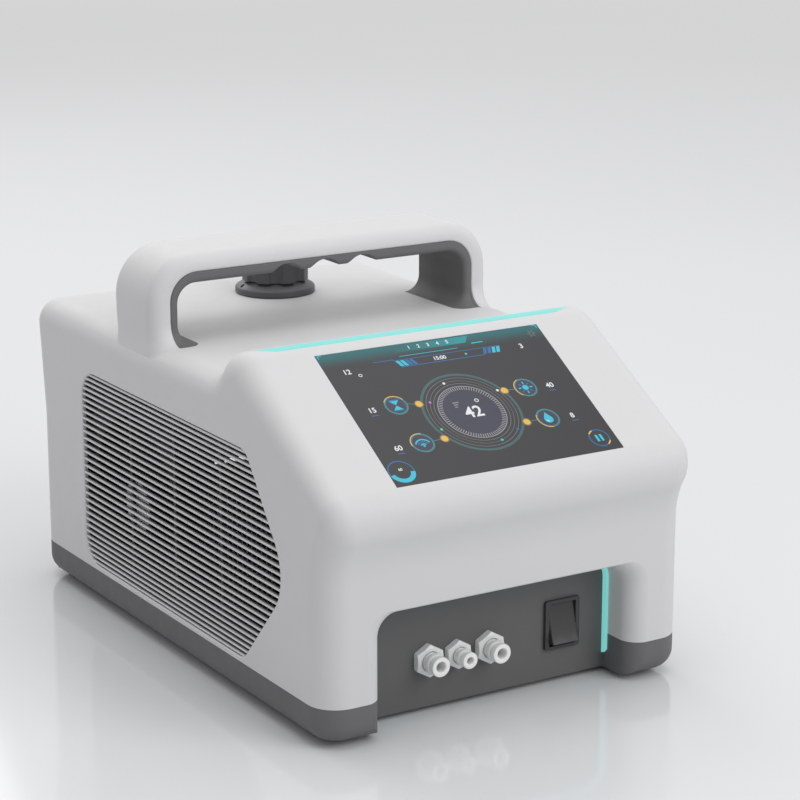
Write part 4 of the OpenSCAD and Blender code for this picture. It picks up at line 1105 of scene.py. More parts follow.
@dataclass
class GrilleOutline:
    """Outline of the side grilles, in (y, z)."""

    rear: float = 124.8
    low: float = 28.0
    high: float = 155.3
    middle: float = 88.4
    tip: float = -144.8

    def grown(self, g: float, cuts: int = 10) -> Outline:
        """Returns the outline grown by g.

        Args:
            g: how far it is grown.
            cuts: how many steps a corner has.

        Returns:
            The outline, in (y, z).
        """
        return rounded([
            (self.rear + g, self.high + g, 18 + g), (self.tip + 48.3 - g * 0.5, self.high + g, 14 + g),
            (self.tip - g * 1.28, self.middle, 31 + g), (self.tip + 54.4 - g * 0.4, self.low - g, 14 + g),
            (self.rear + g, self.low - g, 18 + g),
        ], cuts)


GRILLE = GrilleOutline()


@dataclass
class Housing:
    """The light housing with its handle's outer skin, moulded in one piece."""

    rear_open: tuple[float, float, float, float] = (-88.0, 88.0, 34.0, 150.0)
    ledge_y: float = 193.5
    ledge_t: float = 4.0
    ledge_w: float = 12.0
    neck: tuple[float, float] = (20.0, 130.0)
    neck_r: float = 23.3
    glass_gap: float = 0.2
    glass_rest: float = 4.0
    strip_w: float = 7.8
    strip_l: float = 221.0
    strip_t: float = 1.8
    handle_y: tuple[float, float] = (26.65, 82.65)
    handle_top: float = 243.5
    handle_edge: float = 9.0
    liner_half: float = 108.4
    bar_t: float = 10.9
    liner_r: float = 18.0
    handle_r: float = 30.0
    foot_r: float = 14.0
    leg_low: float = 165.0
    draw: float = 3.0
    draw_h: float = 32.0

    def strip_plan(self, gap: float = 0.0) -> Outline:
        """Returns the crest strip's plan, with pointed ends.

        Args:
            gap: how far it is grown.

        Returns:
            The plan, in (x, y).
        """
        y, w, h, tip = FORM.crest[0] - 1.15, self.strip_w / 2 + gap, self.strip_l / 2 + gap, 14.0
        return [(-h, y + w * 0.4), (-h + tip, y - w), (h - tip, y - w), (h, y + w * 0.4),
                (h - tip, y + w), (-h + tip, y + w)]

    def crest_rod(self, radius: float) -> Piece:
        """Makes a rod along the crest's axis."""
        return Bench.rod("crest_rod", radius, -130, 130, Axis.X, (0, *FORM.crest), 160)

    def leg_x(self, z: float) -> float:
        """Returns the outer face of a leg at a height: drawn in softly above the body."""
        share = min(1.0, (z - self.leg_low) / self.draw_h)
        return FORM.half_w - 0.4 - self.draw * (1 - math.cos(math.pi * share)) / 2

    def handle_ring(self, inner: Point, outer: Point, rise: float = 0.0, cuts: int = 8) -> Ring:
        """Returns the handle's section between an inner and an outer point, both in (x, z).

        Args:
            inner: the point on the liner.
            outer: the point on the outer face.
            rise: how far the section lies below the upper end of the foot's fillet.
            cuts: how many steps a rounded edge has.

        Returns:
            The section's points. The front edge's rounding follows the fillet down into the body's
            own rounded edge.
        """
        span = Vector(outer) - Vector(inner)
        thick, step = span.length, span.normalized()
        (front, rear), s = self.handle_y, 1.2
        r = min(self.handle_edge + 3 * min(1.0, rise / self.foot_r), thick - 2)
        fillet = self.foot_r

        def front_y(inset: float) -> float:
            """Returns the section's front edge, which follows the foot's fillet.

            Args:
                inset: how far the edge is drawn in.

            Returns:
                Its y.
            """
            if rise <= 0:
                return front + inset
            reach = (fillet + inset) ** 2 - rise**2
            return front - fillet + (math.sqrt(reach) if reach > 0 else 0.0)

        section = [(s + s * math.cos(a), front_y(0) + s + s * math.sin(a))
                   for a in (math.radians(180 + 30 * i) for i in range(4))]
        for i in range(cuts + 1):
            a = math.radians(90 * i / cuts)
            section.append((thick - r + r * math.sin(a), front_y(r * (1 - math.cos(a)))))
        section += [(thick - r + x, rear - r + y) for x, y in arc((0, 0), r, 0, 90, cuts)]
        section += [(s + x, rear - s + y) for x, y in arc((0, 0), s, 90, 180, 3)]
        return [(inner[0] + step[0] * t, y, inner[1] + step[1] * t) for t, y in section]

    def handle(self) -> Piece:
        """Makes the handle's outer skin: two legs and the bar, with fillets at the feet.

        Returns:
            The piece.
        """
        bend, top = self.handle_top - self.handle_r, self.handle_top - self.bar_t
        shares = (-1, -0.8, -0.6, -0.45, -0.32, -0.22, -0.13, -0.06, 0,
                  0.06, 0.13, 0.2, 0.3, 0.42, 0.56, 0.76, 1)
        heights = [self.leg_low, *[FORM.top_h + self.foot_r * t for t in shares]]
        xo = self.leg_x(bend)

        def leg(side: int, z: float) -> Ring:
            """Returns a leg's section at a height."""
            rise = FORM.top_h + self.foot_r - z
            return self.handle_ring((side * self.liner_half, z), (side * self.leg_x(z), z), rise)

        def corner(side: int, a: float) -> Ring:
            """Returns a section in one of the bar's bends.

            Args:
                side: 1 on the right and -1 on the left.
                a: how far up the bend it lies, in radians.

            Returns:
                The ring.
            """
            cos, sin = math.cos(a), math.sin(a)
            inner = (side * (self.liner_half - self.liner_r + self.liner_r * cos),
                     top - self.liner_r + self.liner_r * sin)
            outer = (side * (xo - self.handle_r + self.handle_r * cos), bend + self.handle_r * sin)
            return self.handle_ring(inner, outer)

        turns = [math.radians(90 * i / 14) for i in range(15)]
        rings = [leg(-1, z) for z in heights] + [corner(-1, t) for t in turns]
        rings += [corner(1, t) for t in reversed(turns)] + [leg(1, z) for z in reversed(heights)]
        return Bench.loft("handle_skin", rings)

    def rear_outline(self, grow: float) -> Outline:
        """Returns the rear opening's outline, in (x, z).

        Args:
            grow: how far it is grown.

        Returns:
            The outline.
        """
        x0, x1, z0, z1 = self.rear_open
        return rounded([(x0 - grow, z0 - grow, 12 + grow), (x1 + grow, z0 - grow, 12 + grow),
                        (x1 + grow, z1 + grow, 12 + grow), (x0 - grow, z1 + grow, 12 + grow)], 8)

    def grille_space(self, side: int) -> Piece:
        """Makes the space of one side grille, with a rounded mouth.

        Args:
            side: 1 on the right and -1 on the left.

        Returns:
            The piece.
        """
        r, x = 0.9, FORM.half_w
        rings = [[(side * (x - 12), *p) for p in GRILLE.grown(0)]]
        for i in range(5):
            a = math.radians(22.5 * i)
            g = r * (1 - math.cos(a))
            rings.append([(side * (x - r + r * math.sin(a) * 0.999), *p) for p in GRILLE.grown(g)])
        rings.append([(side * (x + 4), *p) for p in GRILLE.grown(r)])
        return Bench.loft("grille_space", rings)

    def build(self) -> Piece:
        """Makes the housing: skin, hollow, handle and all its openings.

        Returns:
            The finished piece.
        """
        shell = Bench.loft("housing_skin", FORM.body_rings(FORM.seam_h, 0))
        Bench.round_edges(shell, lambda a, b: max(a.z, b.z) < (FORM.seam_h + 0.01) * MM, 0.5, 2)
        hollow = Bench.loft("hollow", FORM.body_rings(FORM.seam_h - 4, FORM.wall, 5))
        Bench.cut(hollow, FORM.arch_space("arch_wall", FORM.wall, FORM.panel_y))
        Bench.cut(shell, hollow)
        Bench.combine(shell, self.handle(), Join.UNION)
        ledge = Bench.prism("ledge", self.rear_outline(FORM.wall), Axis.Y, self.ledge_y - self.ledge_t, 197)
        Bench.combine(shell, ledge, Join.UNION)
        slope = FORM.slope_place()
        w, h = FORM.glass[0] / 2, FORM.glass[1] / 2
        gap, rest = self.glass_gap, self.glass_rest
        pocket = Bench.slab("pocket", (-w - gap, -h - gap, -2.0), (w + gap, h + gap, 5))
        window = Bench.slab("window", (rest - w, rest - h, -9), (w - rest, h - rest, 5))
        for one in (pocket, window):
            one.data.transform(in_metres(slope))
        groove = Bench.prism("groove", self.strip_plan(0.12), Axis.Z, FORM.crest[1], FORM.crest[1] + 30)
        Bench.cut(groove, self.crest_rod(FORM.crest_r - self.strip_t))
        neck = Bench.rod("neck_hole", self.neck_r, -12, 8, Axis.Z, (*self.neck, FORM.top_h), 72)
        Bench.cut(
            shell, FORM.arch_space("arch", 0, FORM.panel_y + 1), pocket, window, groove, neck,
            self.grille_space(1), self.grille_space(-1),
            Bench.prism("rear_hole", self.rear_outline(0), Axis.Y, self.ledge_y, 210),
            Bench.prism("rear_window", self.rear_outline(-self.ledge_w), Axis.Y, 180, 200),
        )
        return Bench.finish(shell, Finish.HOUSING, "housing", "housing", ["housing_shell"], 32)

    def strip(self) -> Piece:
        """Makes the crest's light strip, flush with the skin.

        Returns:
            The finished piece.
        """
        strip = Bench.prism("crest_strip", self.strip_plan(), Axis.Z, FORM.crest[1], FORM.crest[1] + 30)
        Bench.combine(strip, self.crest_rod(FORM.crest_r - 0.02), Join.INTERSECT)
        Bench.cut(strip, self.crest_rod(FORM.crest_r - self.strip_t + 0.02))
        return Bench.finish(strip, Finish.LIGHT, "housing", "light", ["crest_light"])


# ---------------------------------------------------------------- base tray and feet


@dataclass
class BaseTray:
    """The dark tray under the housing, with its four rubber feet."""

    edge: float = 12.0
    floor_t: float = 3.0
    posts: tuple[tuple[float, float], ...] = ((-117, -149.6), (-117, 180), (117, -149.6), (117, 180))
    feet: tuple[tuple[float, float], ...] = ((-100, -134.6), (-100, 165), (100, -134.6), (100, 165))

    @staticmethod
    def bowl(low: float, inset: float, edge: float, cuts: int = 10) -> list[Ring]:
        """Returns rings for a rounded lower edge, up to where the wall is upright.

        Args:
            low: the height of its lowest ring.
            inset: how far its wall is drawn in.
            edge: the radius of its lower edge.
            cuts: how many steps that edge has.

        Returns:
            The rings.
        """
        turns = [math.radians(90 * i / cuts) for i in range(cuts + 1)]
        return [[(*p, low + edge * (1 - math.cos(a))) for p in FORM.plan(inset + edge * (1 - math.sin(a)))]
                for a in turns]

    def build(self) -> Piece:
        """Makes the tray with its rounded lower edge, hollow and arch.

        Returns:
            The finished piece.
        """
        low, high = FORM.foot_h, FORM.seam_h
        rings = self.bowl(low, 0, self.edge)
        lip = ((high - 0.5, 0), (high - 0.15, 0.15), (high, 0.5))
        rings += [[(*p, z) for p in FORM.plan(inset)] for z, inset in lip]
        tray = Bench.loft("base_tray_skin", rings)
        inner = [*self.bowl(low + self.floor_t, 4, self.edge - 3), [(*p, 30) for p in FORM.plan(4)]]
        hollow = Bench.loft("tray_hollow", inner)
        Bench.cut(hollow, Bench.prism("arch_walls", FORM.arch_plan(FORM.wall), Axis.Z, 0, 40))
        half = FORM.arch_w + 5.5
        Bench.cut(
            tray, hollow, Bench.prism("arch_way", FORM.arch_plan(0), Axis.Z, -1, 30),
            Bench.slab("panel_slot", (-half, FORM.panel_y, -1), (half, FORM.panel_y + 2.8, 26)),
        )
        for x, y in self.posts:
            post = Bench.rod("post", 3.8, 5.5, 13, Axis.Z, (x, y, 0), 32)
            Bench.combine(tray, post, Join.UNION)
            Bench.cut(tray, Bench.turned(
                "screw_hole", [(0, -1), (3.5, -1), (3.5, 8.6), (1.7, 8.6), (1.7, 30), (0, 30)],
                Axis.Z, (x, y, 0), 32,
            ))
        return Bench.finish(tray, Finish.TRAY, "housing", "tray", ["base_tray"])

    def screws(self) -> Piece:
        """Makes the four base screws: low cross-slotted heads deep in their recesses.

        Returns:
            The finished piece.
        """
        profile = [(0, 6.6), (1.9, 6.6), (2.7, 6.9), (3.0, 7.5), (3.0, 8.5), (1.5, 8.5),
                   (1.5, 20.4), (1.1, 20.8),
                   (0, 20.8)]
        first = Bench.turned("base_screw", profile, Axis.Z, (0, 0, 0), 32)
        Bench.cut(first, Bench.slab("slot", (-1.7, -0.35, 5), (1.7, 0.35, 7.6)),
                  Bench.slab("slot", (-0.35, -1.7, 5), (0.35, 1.7, 7.6)))
        screws = [Bench.copy(first, "base_screw", Matrix.Translation((x, y, 0))) for x, y in self.posts]
        bpy.data.objects.remove(first)
        piece = Bench.weld("base_screw_set", screws)
        return Bench.finish(piece, Finish.STEEL, "housing", "steel", ["base_screws"])

    def rubber(self) -> Piece:
        """Makes the four feet: soft-edged discs with a dimple for their plug.

        Returns:
            The finished piece.
        """
        profile = [(0, 1.2), (2.6, 1.2), (3.2, 0.9), (3.4, 0.2), (4, 0), (8.8, 0), (9.6, 0.3), (9.95, 1),
                   (10, 1.8), (9.8, 2.6), (9.6, 3), (0, 3)]
        first = Bench.turned("foot", profile, Axis.Z, (0, 0, 0), 40)
        feet = [Bench.copy(first, "foot", Matrix.Translation((x, y, 0))) for x, y in self.feet]
        bpy.data.objects.remove(first)
        return Bench.finish(Bench.weld("feet", feet), Finish.RUBBER, "housing", "rubber", ["rubber_feet"])


# ---------------------------------------------------------------- handle liner


@dataclass
class HandleLiner:
    """The dark liner under the bar, with finger grooves and flared feet."""

    half: float = 108.4
    top: float = 232.6
    corner: float = 18.0
    bar_t: float = 7.0
    leg_t: float = 5.5
    pitch: float = 27.2
    groove_r: float = 13.75
    groove_d: float = 5.5
    foot_in: float = 11.0
    foot_front: float = 9.5
    edge: float = 0.8
    soft: float = 3.4
    tip: float = 9.0
    span: tuple[float, float] = (26.65, 82.65)

    def ring(self, inner: Point, outer: Point, flare: float, soft: float) -> Ring:
        """Returns the liner's section between an inner and an outer point, both in (x, z).

        Args:
            inner: the point on the inner face.
            outer: the point on the outer face.
            flare: how far the front edge moves forward.
            soft: the radius of its inner front edge.

        Returns:
            The ring.
        """
        span = Vector(outer) - Vector(inner)
        thick, step = span.length, span.normalized()
        front, rear, r = self.span[0] - flare, self.span[1], self.edge
        corners = [(soft, front + soft, 180, soft, 7), (thick - r, front + r, 270, r, 3),
                   (thick - r, rear - r, 0, r, 3), (r, rear - r, 90, r, 3)]
        section = [spot for t, y, a, radius, cuts in corners for spot in arc((t, y), radius, a, a + 90, cuts)]
        return [(inner[0] + step[0] * t, y, inner[1] + step[1] * t) for t, y in section]

    @staticmethod
    def fillet(radius: float, rise: float) -> float:
        """Returns how far a foot's fillet stands out at a height above the housing."""
        left = max(0.0, radius - rise)
        return radius - math.sqrt(radius**2 - left**2)

    def build(self) -> Piece:
        """Makes the liner along its path, then cuts the finger grooves.

        Returns:
            The finished piece.
        """
        low, x = FORM.top_h, self.half - self.leg_t
        under, r = self.top - self.bar_t, self.corner - self.leg_t
        rises = [self.foot_in * (1 - math.cos(math.radians(7.5 * i))) for i in range(13)]

        def leg(side: int, rise: float) -> Ring:
            """Returns a section of one leg.

            Args:
                side: 1 on the right and -1 on the left.
                rise: its height over the housing.

            Returns:
                The ring.
            """
            spread = self.fillet(self.foot_in, rise)
            soft = self.soft + (self.tip - self.soft) * spread / self.foot_in
            inner = (side * (x - spread), low + rise)
            return self.ring(inner, (side * self.half, low + rise), self.fillet(self.foot_front, rise), soft)

        def bend(side: int, turn: float) -> Ring:
            """Returns a section in one of the upper bends.

            Args:
                side: 1 on the right and -1 on the left.
                turn: how far up the bend it lies, in radians.

            Returns:
                The ring.
            """
            cos, sin = math.cos(turn), math.sin(turn)
            inner = (side * (x - r + r * cos), under - r + r * sin)
            reach = self.half - self.corner + self.corner * cos
            outer = (side * reach, self.top - self.corner + self.corner * sin)
            return self.ring(inner, outer, 0, self.soft)

        turns = [math.radians(90 * i / 12) for i in range(13)]
        rings = [leg(-1, rise) for rise in rises] + [bend(-1, turn) for turn in turns]
        rings += [bend(1, turn) for turn in reversed(turns)] + [leg(1, rise) for rise in reversed(rises)]
        liner = Bench.loft("handle_liner_skin", rings)
        for i in (-1, 0, 1):
            Bench.cut(liner, Bench.rod(
                "groove", self.groove_r, 0, 80, Axis.Y,
                (i * self.pitch, 15, under + self.groove_d - self.groove_r), 72,
            ))
        return Bench.finish(liner, Finish.LINER, "housing", "liner", ["handle_liner"])


# ---------------------------------------------------------------- side grilles and fans


@dataclass
class SideGrille:
    """A louvred grille set in one side, made for the right side and mirrored for the left."""

    rim: float = 5.0
    back_x: float = 119.5
    skin_x: float = 122.0
    slat_back: float = 121.9
    slat_front: float = 124.7
    slat_h: float = 1.4
    slats: int = 31
    spread: float = 0.123
    ribs: tuple[float, ...] = (-60.0, 0.0, 60.0)
    rib_w: float = 3.0

    def slat_z(self, k: int) -> float:
        """Returns the height of a slat's middle.

        Args:
            k: the slat's number, counted from below.

        Returns:
            The height.
        """
        u = 2 * (k + 0.5) / self.slats - 1
        half = (GRILLE.high - GRILLE.low) / 2
        return GRILLE.low + half + half * ((1 + self.spread) * u - self.spread * u**3)

    @staticmethod
    def reach(outline: Sequence[Point], z: float) -> tuple[float, float]:
        """Returns the outline's least and greatest y at a height.

        Args:
            outline: the outline, in (y, z).
            z: the height.

        Returns:
            The least and the greatest y.
        """
        crossings = []
        for (y0, z0), (y1, z1) in zip(outline, [*outline[1:], outline[0]]):
            if (z0 - z) * (z1 - z) <= 0 and z0 != z1:
                crossings.append(y0 + (y1 - y0) * (z - z0) / (z1 - z0))
        return min(crossings), max(crossings)

    def slat(self, z: float, outline: Sequence[Point]) -> Piece:
        """Makes one slat with a rounded front edge, cut to the outline at its ends.

        Args:
            z: its height.
            outline: the grille's outline, in (y, z).

        Returns:
            The piece.
        """
        h, r = self.slat_h / 2, 0.6
        section = [(self.slat_back, z - h), (self.slat_back, z + h)]
        section += arc((self.slat_front - r, z + h - r), r, 90, 0, 3)
        section += arc((self.slat_front - r, z - h + r), r, 0, -90, 3)
        ends = [self.reach(outline, pz) for _, pz in section]
        rings = [[(x, e[i], pz) for (x, pz), e in zip(section, ends)] for i in (0, 1)]
        return Bench.loft("slat", rings)

    def build(self) -> None:
        """Makes the right grille and its mirror image."""
        outline = GRILLE.grown(-0.1, 14)
        slats = [self.slat(self.slat_z(k), outline) for k in range(self.slats)]
        seat = [(y, max(z, FORM.seam_h + 0.3)) for y, z in GRILLE.grown(self.rim)]
        ring = Bench.prism("ring", seat, Axis.X, self.back_x, self.skin_x)
        hole = Bench.prism("ring_hole", GRILLE.grown(-0.6), Axis.X, self.back_x - 1, self.skin_x + 1)
        Bench.cut(ring, hole)
        for y in self.ribs:
            low = (self.back_x, y - self.rib_w / 2, GRILLE.low + 0.2)
            high = (self.skin_x + 0.3, y + self.rib_w / 2, GRILLE.high - 0.2)
            slats.append(Bench.slab("rib", low, high, 0.5))
        right = Bench.weld("right_louvres", [ring, *slats])
        left = Bench.copy(right, "left_louvres", Matrix.Scale(-1, 4, (1, 0, 0)))
        Bench.finish(right, Finish.SLAT, "housing", "housing", ["right_grille"])
        Bench.finish(left, Finish.SLAT, "housing", "housing", ["left_grille"])


@dataclass
class Fan:
    """An axial fan's rotor: a hub with a label and swept blades."""

    y: float = 60.0
    z: float = 80.0
    back_x: float = 94.5
    front_x: float = 119.5
    hub_r: float = 18.5
    tip_r: float = 53.5
    blades: int = 9
    thick: float = 1.6

    def blade(self) -> Piece:
        """Makes one swept and twisted blade.

        Returns:
            The piece.
        """
        rings = []
        for i in range(7):
            t = i / 6
            radius = self.hub_r - 1.5 + (self.tip_r - self.hub_r + 1.5) * t
            pitch, sweep = math.radians(38 + 14 * t), math.radians(14 * t * t)
            half, middle = 9.6 + 2.0 * t, (self.back_x + self.front_x) / 2 + 1
            ring = []
            for u in (-1, -0.5, 0, 0.5, 1, 0.5, 0, -0.5):
                side = 1 if len(ring) < 4 else -1
                bulge = self.thick / 2 * math.sqrt(max(0.0, 1 - u * u)) * side + 1.6 * (1 - u * u)
                x = u * half * math.cos(pitch) - bulge * math.sin(pitch)
                across = u * half * math.sin(pitch) + bulge * math.cos(pitch)
                turn = sweep + across / radius
                ring.append((middle + x, self.y + radius * math.sin(turn), self.z + radius * math.cos(turn)))
            rings.append(ring)
        return Bench.loft("blade", rings)

    def build(self) -> None:
        """Makes the right rotor and its mirror image, each with a label disc."""
        r, x0, x1 = self.hub_r, self.back_x + 4, self.front_x - 1.5
        profile = [(r - 1.5, x0), (r, x0), (r, x1 - 2), *arc((r - 2, x1 - 2), 2, 15, 90, 4),
                   (3, x1), (2.4, x1 - 0.4), (0, x1 - 0.4), (0, x1 - 3), (r - 1.5, x1 - 3), (r - 1.5, x0)]
        hub = Bench.turned("hub", profile, Axis.X, (0, self.y, self.z), 48)
        pin = Bench.rod("pin", 1.5, self.back_x + 1, x1 - 2, Axis.X, (0, self.y, self.z), 24)
        first = self.blade()
        centre = Matrix.Translation((0, self.y, self.z))
        turns = [Matrix.Rotation(math.tau * i / self.blades, 4, "X") for i in range(self.blades)]
        blades = [Bench.copy(first, "blade", centre @ turn @ centre.inverted()) for turn in turns]
        bpy.data.objects.remove(first)
        right = Bench.weld("right_blades", [hub, pin, *blades])
        label = [(0, x1 - 0.3), (16.4, x1 - 0.3), (16.4, x1 + 0.12), (16.2, x1 + 0.2), (0, x1 + 0.2)]
        disc = Bench.turned("right_hub_label", label, Axis.X, (0, self.y, self.z), 48)
        mirror = Matrix.Scale(-1, 4, (1, 0, 0))
        left, left_disc = Bench.copy(right, "left_blades", mirror), Bench.copy(disc, "left_hub_label", mirror)
        for one, hand in ((right, "right"), (left, "left")):
            Bench.finish(one, Finish.FAN, f"{hand}_rotor", "fan", [f"{hand}_fan_rotor"])
        Bench.finish(disc, Finish.HUB, "right_rotor", "fan")
        Bench.finish(left_disc, Finish.HUB, "left_rotor", "fan")


# ---------------------------------------------------------------- ports, switch and arch light


@dataclass
class PushFitting:
    """A push-in tube fitting: hex, ribbed neck and a release collar."""

    name: str
    x: float
    tube: float
    z: float = 32.3
    hex_t: float = 5.0
    neck_l: float = 11.0
    out_l: float = 16.0
    barb_l: float = 26.0

    def centre(self) -> tuple[float, float, float]:
        """Returns where the fitting's axis meets the panel."""
        return self.x, FORM.panel_y, self.z

    def hexagon(self) -> Piece:
        """Makes the pointed-up hex with chamfered corners.

        Returns:
            The piece.
        """
        r = (self.tube + 9.4) / 2 / math.cos(math.radians(30))
        corners = [(self.x + r * math.sin(math.radians(60 * i)), self.z + r * math.cos(math.radians(60 * i)))
                   for i in range(6)]
        nut = Bench.prism("hex", corners, Axis.Y, FORM.panel_y - self.hex_t, FORM.panel_y)
        cone = [(0, 1), (r - 0.9, 0.6), (r + 0.4, -0.9), (r + 0.4, -self.hex_t + 1.3),
                (r - 2.0, -self.hex_t), (0, -self.hex_t)]
        Bench.combine(nut, Bench.turned("hex_cone", cone, Axis.Y, self.centre(), 48), Join.INTERSECT)
        return Bench.bevel(nut, 0.25, 2, 25)

    def build(self) -> None:
        """Makes the fitting and its collar."""
        d, front = self.tube / 2, -self.neck_l
        neck = [(d + 1.5, -self.hex_t + 0.3)]
        for i in range(2):
            h = -self.hex_t - 0.5 - i * 1.5
            neck += [(d + 1.5, h), (d + 1.9, h - 0.3), (d + 1.9, h - 0.7), (d + 1.5, h - 1.0)]
        neck += [(d + 1.7, front + 3.2), (d + 2.3, front + 2.9), (d + 2.4, front + 2.5),
                 (d + 2.4, front + 1.0), (d + 2.0, front + 0.3), (d + 1.6, front)]
        bore = [(d + 0.95, front), (d + 0.95, -3), (d + 0.05, -3), (d + 0.05, 9),
                (d - 1.3, 9), (d - 1.3, self.barb_l)]
        stud = [(d, self.barb_l), (d, 11), (d + 2.4, 11), (d + 2.4, -1)]
        profile = [(d - 1.3, self.barb_l), *stud, *neck, *bore]
        body = Bench.turned("neck", profile, Axis.Y, self.centre(), 48)
        hexagon = self.hexagon()
        Bench.cut(hexagon, Bench.rod("hex_bore", d + 2.2, -20, 20, Axis.Y, self.centre(), 48))
        piece = Bench.weld(f"{self.name}_coupling", [body, hexagon])
        Bench.finish(piece, Finish.FITTING, "housing", "fitting", [f"{self.name}_fitting"], 30)
        a, b = -self.out_l, -self.out_l + 3.2
        ring = [(d - 0.85, a + 10), (d - 0.85, a + 0.5), (d - 0.4, a), (d + 1.3, a), (d + 1.75, a + 0.15),
                (d + 2, a + 0.6), (d + 2, b - 0.4), (d + 1.6, b), (d + 0.9, b), (d + 0.9, a + 10),
                (d - 0.85, a + 10)]
        collar = Bench.turned(f"{self.name}_ring", ring, Axis.Y, self.centre(), 48)
        Bench.finish(collar, Finish.COLLAR, f"{self.name}_release", "fitting", [f"{self.name}_collar"], 30)


PORTS = (("supply", -40.7, 8.0), ("air", -20.8, 6.0), ("return", 1.2, 8.0))


@dataclass
class PowerSwitch:
    """The rocker switch with its bezel."""

    x: float = 53.3
    z: float = 36.9
    bezel: tuple[float, float, float] = (24.6, 30.8, 2.2)
    aperture: tuple[float, float] = (18.8, 26.6)
    tilt: float = 13.0
    bow: tuple[tuple[float, float], ...] = (
        (1, 0.7), (0.75, 0.61), (0.5, 0.55), (0.25, 0.51), (0, 0.5),
        (-0.25, 0.52), (-0.5, 0.58), (-0.75, 0.7), (-1, 1),
    )

    def block(
        self, name: str, w: float, h: float, y0: float, y1: float, corner: float, edge: float = 0
    ) -> Piece:
        """Makes a block centred on the switch, between two depths.

        Args:
            name: the block's name.
            w: its width.
            h: its height.
            y0: its front, measured from the panel.
            y1: its back, measured from the panel.
            corner: the radius of the edges that run back.
            edge: the width of the other edges' rounding.

        Returns:
            The piece.
        """
        low = (self.x - w / 2, FORM.panel_y + y0, self.z - h / 2)
        high = (self.x + w / 2, FORM.panel_y + y1, self.z + h / 2)
        return Bench.slab(name, low, high, corner, Axis.Y, edge, 4)

    def pin(self, radius: float, half: float) -> Piece:
        """Makes a rod along the rocker's axis."""
        return Bench.rod("pin", radius, -half, half, Axis.X, (self.x, FORM.panel_y, self.z), 24)

    def build(self) -> None:
        """Makes the body, its dark recess and the rocker."""
        w, h, t = self.bezel
        body = self.block("switch_bezel", w, h, -t, 0, 1.6, 0.45)
        back = self.block("box", w - 3, h - 3.2, -0.5, 24, 0)
        Bench.combine(body, back, Join.UNION)
        Bench.cut(body, self.block("aperture", *self.aperture, -10, 10, 0.6), self.pin(1.6, w / 2 - 1.9))
        lugs = [Bench.slab("lug", (self.x - 0.4, FORM.panel_y + 23.9, self.z + z - 2.4),
                           (self.x + 0.4, FORM.panel_y + 31, self.z + z + 2.4)) for z in (-9, 0, 9)]
        Bench.weld("switch_bezel", [body, *lugs])
        Bench.finish(body, Finish.SWITCH, "housing", "switch", ["switch_body"])
        hl = self.aperture[1] / 2 - 1.1
        hw = self.aperture[0] / 2 - 0.3
        rise = hl * math.tan(math.radians(self.tilt))
        face = [(-1 - rise * s, hl * t) for t, s in self.bow]
        outline = [*face, (1, -hl + 0.4), (4, -5), (4, 5), (1, hl - 0.4)]
        rocker = Bench.prism("rocker", outline, Axis.X, -hw, hw)
        Bench.bevel(rocker, 0.5, 3, 35)
        centre = Matrix.Translation((self.x, FORM.panel_y, self.z))
        placed = Bench.copy(rocker, "rocker", centre @ Matrix.Rotation(math.radians(-self.tilt), 4, "X"))
        bpy.data.objects.remove(rocker)
        piece = Bench.weld("rocker_button", [placed, self.pin(1.5, hw + 1)])
        Bench.finish(piece, Finish.SWITCH, "rocker", "switch", ["rocker_paddle"])


@dataclass
class ArchLight:
    """The lit strip that lines the arch in front of the panel."""

    width: float = 3.6
    thick: float = 1.8
    low: float = 12.5
    point: float = 2.4

    def build(self) -> Piece:
        """Makes the strip along the arch, with slanted lower ends.

        Returns:
            The finished piece.
        """
        hw, high, r = FORM.arch_w, FORM.arch_h, FORM.arch_r
        back = FORM.panel_y

        def section(x: float, z: float, nx: float, nz: float, width: float) -> Ring:
            """Returns the strip's section where it touches the arch at (x, z).

            Args:
                x: where it touches the arch.
                z: where it touches the arch.
                nx: the direction into the opening, along X.
                nz: the direction into the opening, along Z.
                width: the strip's width there.

            Returns:
                The ring.
            """
            t, e = self.thick, 0.25
            flat = [(0, back), (0, back - width), (t - e, back - width), (t, back - width + e), (t, back)]
            return [(x + nx * d, y, z + nz * d) for d, y in flat]

        ends = ((self.low, self.width - self.point), (self.low + self.point, self.width))
        rings = [section(-hw, z, 1, 0, width) for z, width in ends]
        for cx, start in ((-hw + r, 180), (hw - r, 90)):
            for i in range(13):
                a = math.radians(start - 90 * i / 12)
                spot = cx + r * math.cos(a), high - r + r * math.sin(a)
                rings.append(section(*spot, -math.cos(a), -math.sin(a), self.width))
        rings += [section(hw, z, -1, 0, width) for z, width in reversed(ends)]
        return Bench.finish(Bench.loft("arch_strip", rings), Finish.LIGHT, "housing", "light", ["arch_light"])


# ---------------------------------------------------------------- filler cap


